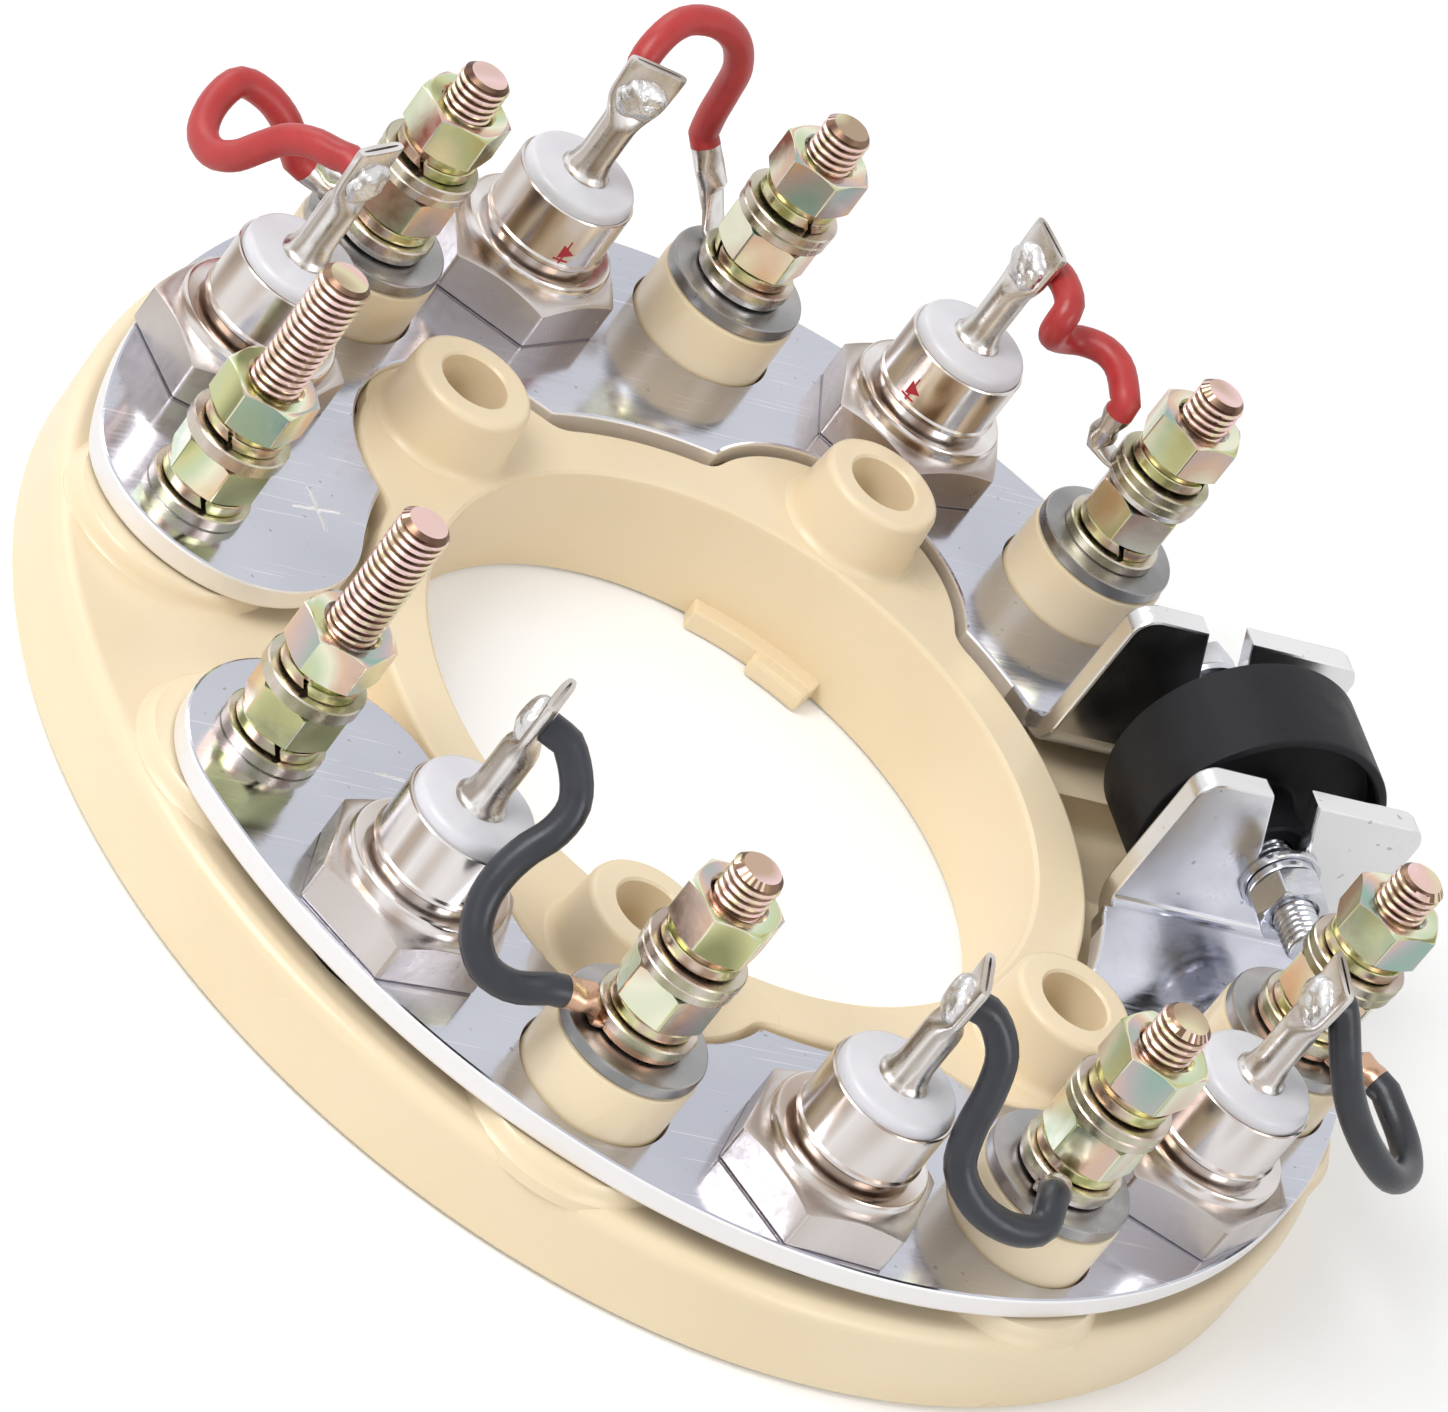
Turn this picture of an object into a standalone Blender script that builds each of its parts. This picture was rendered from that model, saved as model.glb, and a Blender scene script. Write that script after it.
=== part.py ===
# Three-phase bridge rectifier module for the rotor of a brushless generator.
# A moulded ring carries two crescent heat-sink plates, each with three stud diodes,
# six moulded pillars with terminal studs, two output studs and a surge varistor.
# Z runs along the studs, X points at the varistor and Y at the positive plate.
import bpy
import bmesh
from math import acos, asin, atan2, ceil, cos, degrees, hypot, pi, radians, sin
from mathutils import Matrix, Vector

MM = 0.001
SEAT_GAP = 0.3 * MM          # air left between two pieces that touch
THREAD_CLEARANCE = 0.3 * MM  # between a stud and the bore of what sits on it

# Moulded base ring
BORE_RADIUS = 39.2 * MM
FLOOR_HEIGHT = 11.2 * MM
RIM_ROUNDING = 2.0 * MM
HUB_WALL = 7.1 * MM
HUB_HEIGHT = 15.8 * MM
HUB_ROUNDING = 0.7 * MM
LOBE_RADIUS = 17.3 * MM      # swelling of the hub round each mounting boss
LOBE_REACH = 0.8 * MM        # from the bore's wall to the lobe's centre
LOBE_FILLET = 4.0 * MM
BOSS_REACH = 9.7 * MM        # from the bore's wall to the boss's centre
BOSS_ANGLE = 54.7
BOSS_TOP_RADIUS = 7.4 * MM
BOSS_ROOT_RADIUS = 8.2 * MM
BOSS_HEIGHT = 23.7 * MM
BOSS_HOLE_RADIUS = 4.2 * MM
KEY_DEPTH = 4.6 * MM         # driving key at the foot of the bore
KEY_ANGLES = (43.5, 69.5)
KEY_HEIGHT = 3.6 * MM
KEY_STEP = 1.4 * MM

# Heat-sink plates
PLATE_THICKNESS = 3.0 * MM
LAND_HEIGHT = 1.9 * MM       # raised seats on the floor that carry the plates
LAND_RADIUS = 12.5 * MM
PLATE_RIM_INSET = 2.0 * MM
PLATE_EDGE = 1.6 * MM        # metal left outside each pillar's hole
PLATE_HUB_CLEARANCE = 1.8 * MM
PLATE_LOBE_CLEARANCE = 1.0 * MM
PLATE_END_ANGLE = 160.2
FLAP_FACE = 14.2 * MM        # outer face of the upright flap, from the X axis
FLAP_HEIGHT = 20.4 * MM      # above the top of the plate
FLAP_HUB_OVERLAP = 1.1 * MM  # the flap stands a little over the hub's edge
FLAP_RIM_INSET = 1.8 * MM
FLAP_CORNER = 3.0 * MM
BEND_RADIUS = 1.0 * MM

# Alternating-current terminals
AC_OUTSET = 0.35 * MM        # the pillars stand a little outside the diodes' circle
AC_FIRST_ANGLE = 121.7
AC_PITCH = 44.5
PILLAR_RADIUS = 8.9 * MM
PILLAR_HEIGHT = 23.4 * MM
PILLAR_CLEARANCE = 0.35 * MM
CONTACT_RADIUS = 8.7 * MM
CONTACT_THICKNESS = 1.5 * MM
STUD_RADIUS = 3.0 * MM
STUD_TOP = 50.5 * MM
ROOT_RADIUS = 4.0 * MM       # knurled foot of a terminal stud inside its pillar
ROOT_DEPTH = 10.8 * MM

# Direct-current terminals
DC_INSET = 1.3 * MM
DC_ANGLE = 164.6
HEAD_ACROSS_FLATS = 10.0 * MM
HEAD_HEIGHT = 4.0 * MM
HEAD_POCKET_DEPTH = 6.0 * MM
HEAD_POCKET_RADIUS = 6.5 * MM
STUD_HOLE_RADIUS = 3.4 * MM

# Nuts and washers on the six-millimetre studs
NUT_ACROSS_FLATS = 10.0 * MM
NUT_HEIGHT = 5.4 * MM
WASHER_RADIUS = 6.0 * MM
SPRING_RADIUS = 5.2 * MM
LOWER_WASHER = 1.3 * MM
LOWER_SPRING = 1.6 * MM
AC_UPPER_WASHER = 2.8 * MM
AC_UPPER_SPRING = 2.4 * MM
DC_UPPER_WASHER = 2.0 * MM
DC_UPPER_SPRING = 1.7 * MM

# Stud diodes
DIODE_BOSS_CLEARANCE = 0.58 * MM
DIODE_FIRST_ANGLE = 144.2
DIODE_PITCH = 44.7
DIODE_TURNS = (40.0, 23.0, 10.0, 3.0, 54.0, 30.0)
HEX_ACROSS_FLATS = 21.0 * MM
HEX_HEIGHT = 5.7 * MM
HEX_CHAMFER = 1.1 * MM
COLLAR_RADIUS = 9.6 * MM
COLLAR_HEIGHT = 1.8 * MM
GROOVE_RADIUS = 6.9 * MM
GROOVE_HEIGHT = 0.8 * MM
CAN_RADIUS = 7.5 * MM
CAN_HEIGHT = 7.6 * MM
CAN_WALL = 0.5 * MM
SEAL_DEPTH = 1.0 * MM
INSULATOR_HEIGHT = 2.2 * MM
DIODE_STUD_RADIUS = 4.0 * MM
DIODE_STUD_LENGTH = 14.5 * MM
DIODE_NUT_ACROSS_FLATS = 13.0 * MM
DIODE_NUT_HEIGHT = 6.5 * MM
NUT_POCKET_RADIUS = 8.6 * MM
TUBE_RADIUS = 2.15 * MM
TUBE_FLARE_RADIUS = 3.0 * MM
TUBE_HEIGHT = 8.0 * MM
TAB_TOP = 16.6 * MM          # tip of the flattened tab above the insulator
TAB_WIDTH = 7.4 * MM
TAB_THICKNESS = 1.5 * MM
SOLDER_HEIGHT = 12.4 * MM    # middle of the solder joint above the insulator
SOLDER_RADIUS = 2.7 * MM
SOLDER_SWELL = 1.7 * MM
TAB_FACINGS = (118.0, 77.0, 8.0, -40.0, -25.0, -10.0)  # side on which the lead leaves

# Leads and their ring lugs
LEAD_RADIUS = 1.8 * MM
LEAD_STEP = 3.2 * MM
LUG_RADIUS = 5.7 * MM
LUG_THICKNESS = 0.8 * MM
LUG_TONGUE_REACH = 7.3 * MM
LUG_TONGUE_WIDTH = 4.0 * MM
LUG_BARREL_RADIUS = 1.75 * MM
LEAD_ABOVE_NUT = 3           # this lead is clamped above the lower nut

# Varistor between the flaps
VARISTOR_INSET = 4.8 * MM    # its axis lies inside the diodes' circle
VARISTOR_Y = -1.0 * MM
VARISTOR_Z = 25.2 * MM
VARISTOR_RADIUS = 15.2 * MM
VARISTOR_WIDTH = 12.4 * MM
VARISTOR_RIM = 1.3 * MM
VARISTOR_DISH = 3.4 * MM
VARISTOR_HUB_RADIUS = 4.6 * MM
VARISTOR_POCKET_DEPTH = 5.2 * MM
VARISTOR_POCKET_CLEARANCE = 2.7 * MM
VARISTOR_POCKET_RIM = 2.5 * MM
VARISTOR_POCKET_CORNER = 2.0 * MM
BOLT_RADIUS = 2.5 * MM
BOLT_TAIL = 5.0 * MM         # thread that stands past the nut
BOLT_NUT_ACROSS_FLATS = 8.0 * MM
BOLT_NUT_HEIGHT = 4.0 * MM
BOLT_WASHER_RADIUS = 4.8 * MM
BOLT_WASHER_THICKNESS = 1.8 * MM
SLOT_WIDTH = 5.6 * MM
SLOT_LEAN = 25.0             # degrees off the upright, top towards the hub

# Facets
RING_SIDES = 48
DISC_SIDES = 20
SMALL_SIDES = 18
STUD_SIDES = 12

# Circles that follow from the sizes above, from the bore outwards
HUB_RADIUS = BORE_RADIUS + HUB_WALL
BOSS_CIRCLE = BORE_RADIUS + BOSS_REACH
LOBE_CENTRE = BORE_RADIUS + LOBE_REACH
KEY_INNER_RADIUS = BORE_RADIUS - KEY_DEPTH
DIODE_CIRCLE = BOSS_CIRCLE + BOSS_ROOT_RADIUS + HEX_ACROSS_FLATS / 3 ** 0.5 + DIODE_BOSS_CLEARANCE
AC_CIRCLE = DIODE_CIRCLE + AC_OUTSET
DC_CIRCLE = AC_CIRCLE - DC_INSET
PLATE_INNER_RADIUS = HUB_RADIUS + PLATE_HUB_CLEARANCE
PLATE_OUTER_RADIUS = AC_CIRCLE + PILLAR_RADIUS + PILLAR_CLEARANCE + PLATE_EDGE
BASE_RADIUS = PLATE_OUTER_RADIUS + PLATE_RIM_INSET
FLAP_INNER_X = PLATE_INNER_RADIUS - FLAP_HUB_OVERLAP
FLAP_OUTER_X = PLATE_OUTER_RADIUS - FLAP_RIM_INSET
VARISTOR_X = DIODE_CIRCLE - VARISTOR_INSET

# Levels that follow from the sizes above
PLATE_BOTTOM = FLOOR_HEIGHT + LAND_HEIGHT + SEAT_GAP
PLATE_TOP = PLATE_BOTTOM + PLATE_THICKNESS
CONTACT_BOTTOM = PILLAR_HEIGHT + SEAT_GAP
CONTACT_TOP = CONTACT_BOTTOM + CONTACT_THICKNESS
LOWER_STACK = LOWER_WASHER + LOWER_SPRING + NUT_HEIGHT
DIODE_SEAT = PLATE_TOP + SEAT_GAP
CAN_TOP = DIODE_SEAT + HEX_HEIGHT + COLLAR_HEIGHT + GROOVE_HEIGHT + CAN_HEIGHT
INSULATOR_BOTTOM = CAN_TOP - SEAL_DEPTH + SEAT_GAP
INSULATOR_TOP = INSULATOR_BOTTOM + INSULATOR_HEIGHT
TERMINAL_BOTTOM = INSULATOR_TOP + SEAT_GAP
BORE_OF_HARDWARE = STUD_RADIUS + THREAD_CLEARANCE
FLAP_INSIDE = FLAP_FACE - PLATE_THICKNESS

# Routes of the six leads, from the diode tab to the lug, read off the real module and
# measured from the centre of the lug's ring. The last point is the mouth of its barrel.
ROUTES = {
    1: [(-21.7, -15.7, 20.7), (-23.6, -13.1, 19.5), (-25.1, -10.8, 17.3), (-26.3, -9.5, 14.5),
        (-27.3, -7.7, 10.9), (-28.1, -5.1, 8.5), (-28.1, -1.1, 7.7), (-26.4, 2.9, 9.1),
        (-23.4, 5.5, 10.9), (-19.8, 5.3, 10.3), (-16.4, 4.1, 8.5), (-13.5, 3.3, 6.1),
        (-11.3, 2.7, 3.8)],
    2: [(-27.1, 3.6, 23.3), (-25.1, 6.0, 26.3), (-22.1, 8.0, 27.5), (-17.7, 9.0, 27.5),
        (-13.7, 9.6, 25.5), (-10.7, 10.2, 21.5), (-9.3, 11.2, 17.1), (-8.3, 12.0, 12.9),
        (-7.1, 12.2, 9.9), (-6.3, 12.1, 8.1)],
    3: [(-16.0, 17.5, 13.3), (-15.8, 15.1, 13.4), (-16.0, 12.7, 12.9), (-16.7, 11.5, 11.1),
        (-15.7, 12.3, 8.8), (-13.0, 13.7, 7.5), (-10.1, 13.7, 7.9), (-8.2, 12.0, 8.7),
        (-7.1, 9.5, 8.8), (-6.8, 6.7, 8.1), (-7.0, 4.6, 6.2)],
    4: [(-17.3, 17.1, 21.3), (-15.5, 14.7, 19.3), (-15.0, 12.1, 16.9), (-16.1, 10.7, 14.1),
        (-18.1, 10.1, 11.3), (-19.7, 9.1, 8.5), (-20.7, 7.5, 5.5), (-20.7, 4.9, 2.7),
        (-19.3, 2.3, 1.1), (-16.3, 0.7, 0.9), (-13.5, 0.1, 1.7), (-11.1, -0.1, 2.4)],
    5: [(-23.4, -2.0, 20.5), (-21.4, -3.8, 17.9), (-21.0, -5.6, 14.1), (-21.4, -7.4, 9.7),
        (-20.8, -9.2, 5.9), (-17.5, -11.4, 3.1), (-12.5, -12.6, 1.9), (-8.7, -12.0, 2.3),
        (-6.9, -10.0, 3.3), (-6.4, -7.9, 3.4)],
    6: [(-15.6, -20.3, 20.1), (-13.4, -22.5, 16.1), (-10.3, -24.1, 11.9), (-5.0, -25.3, 7.1),
        (1.2, -24.9, 3.1), (5.8, -21.7, 1.5), (7.4, -17.1, 1.3), (6.9, -12.7, 1.7),
        (5.9, -9.2, 2.1)],
}
BARREL_ROOTS = {
    1: (-6.6, 1.5, 2.2), 2: (-3.2, 9.6, 3.8), 3: (-6.6, 5.0, 1.3),
    4: (-6.7, 0.0, 2.2), 5: (-4.3, -5.2, 2.2), 6: (3.8, -5.9, 2.1),
}

# Finishes: base colour, roughness and metallic value
CREAM_PLASTIC = ((0.84, 0.68, 0.41), 0.45, 0.0)
POLISHED_ALUMINIUM = ((0.80, 0.81, 0.84), 0.12, 1.0)
WARM_NICKEL = ((0.66, 0.60, 0.55), 0.25, 1.0)
WHITE_CERAMIC = ((0.86, 0.86, 0.88), 0.35, 0.0)
TINNED_COPPER = ((0.70, 0.66, 0.62), 0.30, 1.0)
YELLOW_ZINC = ((0.62, 0.55, 0.33), 0.30, 1.0)
WHITE_ZINC = ((0.72, 0.73, 0.75), 0.30, 1.0)
RED_INSULATION = ((0.55, 0.05, 0.04), 0.40, 0.0)
BLACK_INSULATION = ((0.03, 0.03, 0.035), 0.45, 0.0)
BLACK_EPOXY = ((0.02, 0.02, 0.022), 0.55, 0.0)


def clear_scene():
    for item in list(bpy.data.objects):
        bpy.data.objects.remove(item, do_unlink=True)


def tidy(item):
    """Merges the slivers a Boolean leaves and joins faces that lie in one plane."""
    shape = bmesh.new()
    shape.from_mesh(item.data)
    bmesh.ops.remove_doubles(shape, verts=shape.verts, dist=0.02 * MM)
    bmesh.ops.dissolve_degenerate(shape, edges=shape.edges, dist=0.005 * MM)
    bmesh.ops.dissolve_limit(shape, angle_limit=radians(0.5), verts=shape.verts,
                             edges=shape.edges)
    shape.to_mesh(item.data)
    shape.free()


def finish(item, look):
    colour, roughness, metallic = look
    material = bpy.data.materials.new(item.name + "_finish")
    material.use_nodes = True
    shader = material.node_tree.nodes["Principled BSDF"]
    shader.inputs["Base Color"].default_value = (*colour, 1.0)
    shader.inputs["Roughness"].default_value = roughness
    shader.inputs["Metallic"].default_value = metallic
    item.data.materials.clear()
    item.data.materials.append(material)


def add_object(name, mesh_data):
    item = bpy.data.objects.new(name, mesh_data)
    bpy.context.scene.collection.objects.link(item)
    return item


def object_from_bmesh(name, shape):
    bmesh.ops.remove_doubles(shape, verts=shape.verts, dist=1e-6)
    bmesh.ops.recalc_face_normals(shape, faces=shape.faces)
    mesh_data = bpy.data.meshes.new(name)
    shape.to_mesh(mesh_data)
    shape.free()
    return add_object(name, mesh_data)


def shade(item, angle=35.0):
    item.data.shade_smooth()
    item.data.set_sharp_from_angle(angle=radians(angle))


# Shape builders

def loft(name, rings, place=None):
    """Closed skin through rings of equal length; a one-point ring is an apex."""
    shape = bmesh.new()
    rows = [[shape.verts.new(point) for point in ring] for ring in rings]
    for low, high in zip(rows, rows[1:]):
        count = max(len(low), len(high))
        for i in range(count):
            j = (i + 1) % count
            if len(low) == 1:
                shape.faces.new((low[0], high[i], high[j]))
            elif len(high) == 1:
                shape.faces.new((low[i], low[j], high[0]))
            else:
                shape.faces.new((low[i], low[j], high[j], high[i]))
    for row in (rows[0], rows[-1]):
        if len(row) > 2:
            shape.faces.new(row)
    if place is not None:
        bmesh.ops.transform(shape, matrix=place, verts=shape.verts)
    return object_from_bmesh(name, shape)


def tube_loft(name, rings, place=None):
    """Closed skin through rings whose last ring joins the first one again."""
    shape = bmesh.new()
    rows = [[shape.verts.new(point) for point in ring] for ring in rings]
    for low, high in zip(rows, rows[1:] + rows[:1]):
        for i in range(len(low)):
            j = (i + 1) % len(low)
            shape.faces.new((low[i], low[j], high[j], high[i]))
    if place is not None:
        bmesh.ops.transform(shape, matrix=place, verts=shape.verts)
    return object_from_bmesh(name, shape)


def circle_ring(radius, z, sides, turn=0.0):
    return [(radius * cos(turn + 2 * pi * i / sides), radius * sin(turn + 2 * pi * i / sides), z)
            for i in range(sides)]


def hex_ring(across_flats, z, sides, turn=0.0, inside=None, drop=0.0):
    """Hexagon sampled at equal angles; past the inside radius its points sink by drop."""
    ring = []
    for i in range(sides):
        angle = 2 * pi * i / sides
        offset = (angle + pi / 6) % (pi / 3) - pi / 6
        radius = across_flats / 2 / cos(pi / 6 - abs(offset))
        height = z
        if inside is not None:
            share = (radius - inside) / (across_flats / 3 ** 0.5 - inside)
            height = z - drop * max(0.0, share)
        ring.append((radius * cos(angle + turn), radius * sin(angle + turn), height))
    return ring


def prism(name, outline, z_low, z_high, place=None):
    return loft(name, [[(x, y, z_low) for x, y in outline], [(x, y, z_high) for x, y in outline]],
                place)


def cylinder(name, x, y, radius, z_low, z_high, sides=SMALL_SIDES):
    """Upright cylinder with one corner on the line from the ring's axis."""
    turn = atan2(y, x)
    return loft(name, [circle_ring(radius, z_low, sides, turn),
                       circle_ring(radius, z_high, sides, turn)], Matrix.Translation((x, y, 0.0)))


def arc(cx, cy, radius, start, end, step=6.0):
    """Points on an arc in degrees, both ends included."""
    count = max(2, ceil(abs(end - start) / step) + 1)
    return [(cx + radius * cos(radians(start + (end - start) * i / (count - 1))),
             cy + radius * sin(radians(start + (end - start) * i / (count - 1))))
            for i in range(count)]


def cleaned(outline):
    kept = []
    for point in outline:
        if not kept or hypot(point[0] - kept[-1][0], point[1] - kept[-1][1]) > 1e-6:
            kept.append(point)
    if hypot(kept[0][0] - kept[-1][0], kept[0][1] - kept[-1][1]) < 1e-6:
        kept.pop()
    return kept


def baked(item):
    """Applies the object's modifiers to its mesh."""
    depsgraph = bpy.context.evaluated_depsgraph_get()
    mesh_data = bpy.data.meshes.new_from_object(item.evaluated_get(depsgraph))
    item.modifiers.clear()
    item.data = mesh_data
    return item


def combine(body, tools, operation):
    for tool in tools:
        cut = body.modifiers.new("combine", "BOOLEAN")
        cut.operation = operation
        cut.solver = "EXACT"
        cut.object = tool
        baked(body)
        bpy.data.objects.remove(tool, do_unlink=True)
    return body


def polar(radius, angle):
    return radius * cos(radians(angle)), radius * sin(radians(angle))


def ac_places():
    """Number, X and Y of the six alternating-current terminals."""
    places = []
    for side in (1, -1):
        for i in range(3):
            angle = side * (AC_FIRST_ANGLE - AC_PITCH * i)
            places.append((len(places) + 1, *polar(AC_CIRCLE, angle)))
    return places


def diode_places():
    places = []
    for side in (1, -1):
        for i in range(3):
            angle = side * (DIODE_FIRST_ANGLE - DIODE_PITCH * i)
            places.append((len(places) + 1, *polar(DIODE_CIRCLE, angle)))
    return places


def dc_places():
    return [("positive", *polar(DC_CIRCLE, DC_ANGLE)), ("negative", *polar(DC_CIRCLE, -DC_ANGLE))]


def boss_angles():
    return (BOSS_ANGLE, 180.0 - BOSS_ANGLE, BOSS_ANGLE - 180.0, -BOSS_ANGLE)


# Base ring

def hub_outline():
    """Hub circle with a filleted lobe round each boss."""
    reach = HUB_RADIUS + LOBE_FILLET
    spread = LOBE_RADIUS + LOBE_FILLET
    offset = degrees(acos((reach ** 2 + LOBE_CENTRE ** 2 - spread ** 2) / (2 * reach * LOBE_CENTRE)))
    points = []
    for angle in sorted(a % 360.0 for a in boss_angles()):
        lx, ly = polar(LOBE_CENTRE, angle)
        before, after = polar(reach, angle - offset), polar(reach, angle + offset)
        lobe_start = degrees(atan2(before[1] - ly, before[0] - lx))
        lobe_end = degrees(atan2(after[1] - ly, after[0] - lx))
        if lobe_end < lobe_start:
            lobe_end += 360.0
        turn = (lobe_start + 180.0) - (angle - offset + 180.0)
        turn = (turn + 180.0) % 360.0 - 180.0
        points += arc(*before, LOBE_FILLET, angle - offset + 180.0, angle - offset + 180.0 + turn, 30.0)
        points += arc(lx, ly, LOBE_RADIUS, lobe_start, lobe_end, 12.0)
        points += arc(*after, LOBE_FILLET, angle + offset + 180.0 - turn, angle + offset + 180.0, 30.0)
        following = next((b % 360.0 for b in sorted(a % 360.0 for a in boss_angles())
                          if b % 360.0 > angle + 1.0), None)
        gap_end = (following if following else min(a % 360.0 for a in boss_angles()) + 360.0) - offset
        points += arc(0.0, 0.0, HUB_RADIUS, angle + offset, gap_end, 7.5)[1:-1]
    return cleaned(points)


def base_body():
    top = FLOOR_HEIGHT
    profile = [(BORE_RADIUS, 0.0), (BASE_RADIUS - 0.6 * MM, 0.0), (BASE_RADIUS, 0.6 * MM)]
    profile += [(BASE_RADIUS - RIM_ROUNDING + x, top - RIM_ROUNDING + y)
                for x, y in arc(0.0, 0.0, RIM_ROUNDING, 0.0, 90.0, 45.0)]
    profile += [(BORE_RADIUS, top)]
    return tube_loft("base_ring", [circle_ring(r, z, RING_SIDES) for r, z in profile])


def hub_body():
    outline = hub_outline()
    low = FLOOR_HEIGHT - 1.5 * MM
    shrink = [(x * (1 - HUB_ROUNDING / hypot(x, y)), y * (1 - HUB_ROUNDING / hypot(x, y)))
              for x, y in outline]
    hub = loft("hub", [[(x, y, low) for x, y in outline],
                       [(x, y, HUB_HEIGHT - HUB_ROUNDING) for x, y in outline],
                       [(x, y, HUB_HEIGHT) for x, y in shrink]])
    mouth = BORE_RADIUS + HUB_ROUNDING
    bore = loft("bore", [circle_ring(BORE_RADIUS, -1.0 * MM, RING_SIDES),
                         circle_ring(BORE_RADIUS, HUB_HEIGHT - HUB_ROUNDING, RING_SIDES),
                         circle_ring(mouth, HUB_HEIGHT, RING_SIDES),
                         circle_ring(mouth, HUB_HEIGHT + 1.0 * MM, RING_SIDES)])
    return combine(hub, [bore], "DIFFERENCE")


def boss(x, y):
    edge = 0.8 * MM
    return loft("boss", [circle_ring(BOSS_ROOT_RADIUS, FLOOR_HEIGHT - 1.0 * MM, SMALL_SIDES),
                         circle_ring(BOSS_TOP_RADIUS, BOSS_HEIGHT - edge, SMALL_SIDES),
                         circle_ring(BOSS_TOP_RADIUS - edge, BOSS_HEIGHT, SMALL_SIDES)],
                Matrix.Translation((x, y, 0.0)))


def key_block():
    """Stepped driving key at the foot of the bore, swept round part of it."""
    step_radius = KEY_INNER_RADIUS + 2.0 * MM
    section = [(KEY_INNER_RADIUS, 0.0), (BORE_RADIUS + 1.0 * MM, 0.0),
               (BORE_RADIUS + 1.0 * MM, KEY_HEIGHT + KEY_STEP), (step_radius, KEY_HEIGHT + KEY_STEP),
               (step_radius, KEY_HEIGHT), (KEY_INNER_RADIUS, KEY_HEIGHT)]
    start, end = KEY_ANGLES
    turns = [radians(start + (end - start) * i / 5) for i in range(6)]
    return loft("key", [[(r * cos(a), r * sin(a), z) for r, z in section] for a in turns])


def varistor_pocket():
    half = VARISTOR_WIDTH / 2 + VARISTOR_POCKET_CLEARANCE
    inner = PLATE_INNER_RADIUS
    outer = BASE_RADIUS - VARISTOR_POCKET_RIM
    r = VARISTOR_POCKET_CORNER
    low, high = VARISTOR_Y - half, VARISTOR_Y + half
    outline = arc(outer - r, high - r, r, 0.0, 90.0, 30.0) + arc(inner + r, high - r, r, 90.0, 180.0, 30.0)
    outline += arc(inner + r, low + r, r, 180.0, 270.0, 30.0) + arc(outer - r, low + r, r, 270.0, 360.0, 30.0)
    return prism("pocket", cleaned(outline), FLOOR_HEIGHT - VARISTOR_POCKET_DEPTH,
                 FLOOR_HEIGHT + 1.0 * MM)


def base_ring():
    body = base_body()
    land_top = FLOOR_HEIGHT + LAND_HEIGHT
    sunk = FLOOR_HEIGHT - 2.0 * MM
    adds = [hub_body()]
    for angle in boss_angles():
        adds.append(boss(*polar(BOSS_CIRCLE, angle)))
    for number, x, y in ac_places():
        adds.append(cylinder("land", x, y, LAND_RADIUS, sunk, land_top))
        adds.append(cylinder("pillar", x, y, PILLAR_RADIUS, sunk - 0.5 * MM, PILLAR_HEIGHT))
    for sign, x, y in dc_places():
        adds.append(cylinder("land", x, y, LAND_RADIUS, sunk, land_top))
    adds.append(key_block())
    combine(body, adds, "UNION")
    tidy(body)
    cuts = []
    for angle in boss_angles():
        x, y = polar(BOSS_CIRCLE, angle)
        cuts.append(cylinder("hole", x, y, BOSS_HOLE_RADIUS, -1.0 * MM, BOSS_HEIGHT + 1.0 * MM,
                             STUD_SIDES))
    for number, x, y in ac_places():
        cuts.append(cylinder("root_bore", x, y, ROOT_RADIUS + THREAD_CLEARANCE,
                             PILLAR_HEIGHT - ROOT_DEPTH - SEAT_GAP, PILLAR_HEIGHT + 1.0 * MM,
                             STUD_SIDES))
    for number, x, y in diode_places():
        cuts.append(cylinder("nut_pocket", x, y, NUT_POCKET_RADIUS, -1.0 * MM,
                             FLOOR_HEIGHT + 1.0 * MM))
    for sign, x, y in dc_places():
        cuts.append(cylinder("head_pocket", x, y, HEAD_POCKET_RADIUS, -1.0 * MM,
                             HEAD_POCKET_DEPTH, STUD_SIDES))
        cuts.append(cylinder("stud_hole", x, y, STUD_HOLE_RADIUS, 0.0, land_top + 1.0 * MM,
                             STUD_SIDES))
    cuts.append(varistor_pocket())
    combine(body, cuts, "DIFFERENCE")
    tidy(body)
    finish(body, CREAM_PLASTIC)
    shade(body)
    return body


# Heat-sink plates

def plate_outline():
    """Crescent for the positive side, from the flap round the rim and back along the hub."""
    outer, inner = PLATE_OUTER_RADIUS, PLATE_INNER_RADIUS
    edge = FLAP_FACE + BEND_RADIUS
    end_radius = (outer - inner) / 2
    ex, ey = polar((outer + inner) / 2, PLATE_END_ANGLE)
    scallop = LOBE_RADIUS + PLATE_LOBE_CLEARANCE
    offset = degrees(acos((inner ** 2 + LOBE_CENTRE ** 2 - scallop ** 2) / (2 * inner * LOBE_CENTRE)))
    points = arc(0.0, 0.0, outer, degrees(asin(edge / outer)), PLATE_END_ANGLE, 7.5)
    points += arc(ex, ey, end_radius, PLATE_END_ANGLE, PLATE_END_ANGLE + 180.0, 15.0)
    previous = PLATE_END_ANGLE
    spread = degrees(atan2(inner * sin(radians(offset)), inner * cos(radians(offset)) - LOBE_CENTRE))
    for angle in (180.0 - BOSS_ANGLE, BOSS_ANGLE):
        points += arc(0.0, 0.0, inner, previous, angle + offset, 7.5)
        points += arc(*polar(LOBE_CENTRE, angle), scallop, angle + spread, angle - spread, 12.0)
        previous = angle - offset
    points += arc(0.0, 0.0, inner, previous, degrees(asin(edge / inner)), 7.5)
    return cleaned(points)


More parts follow.
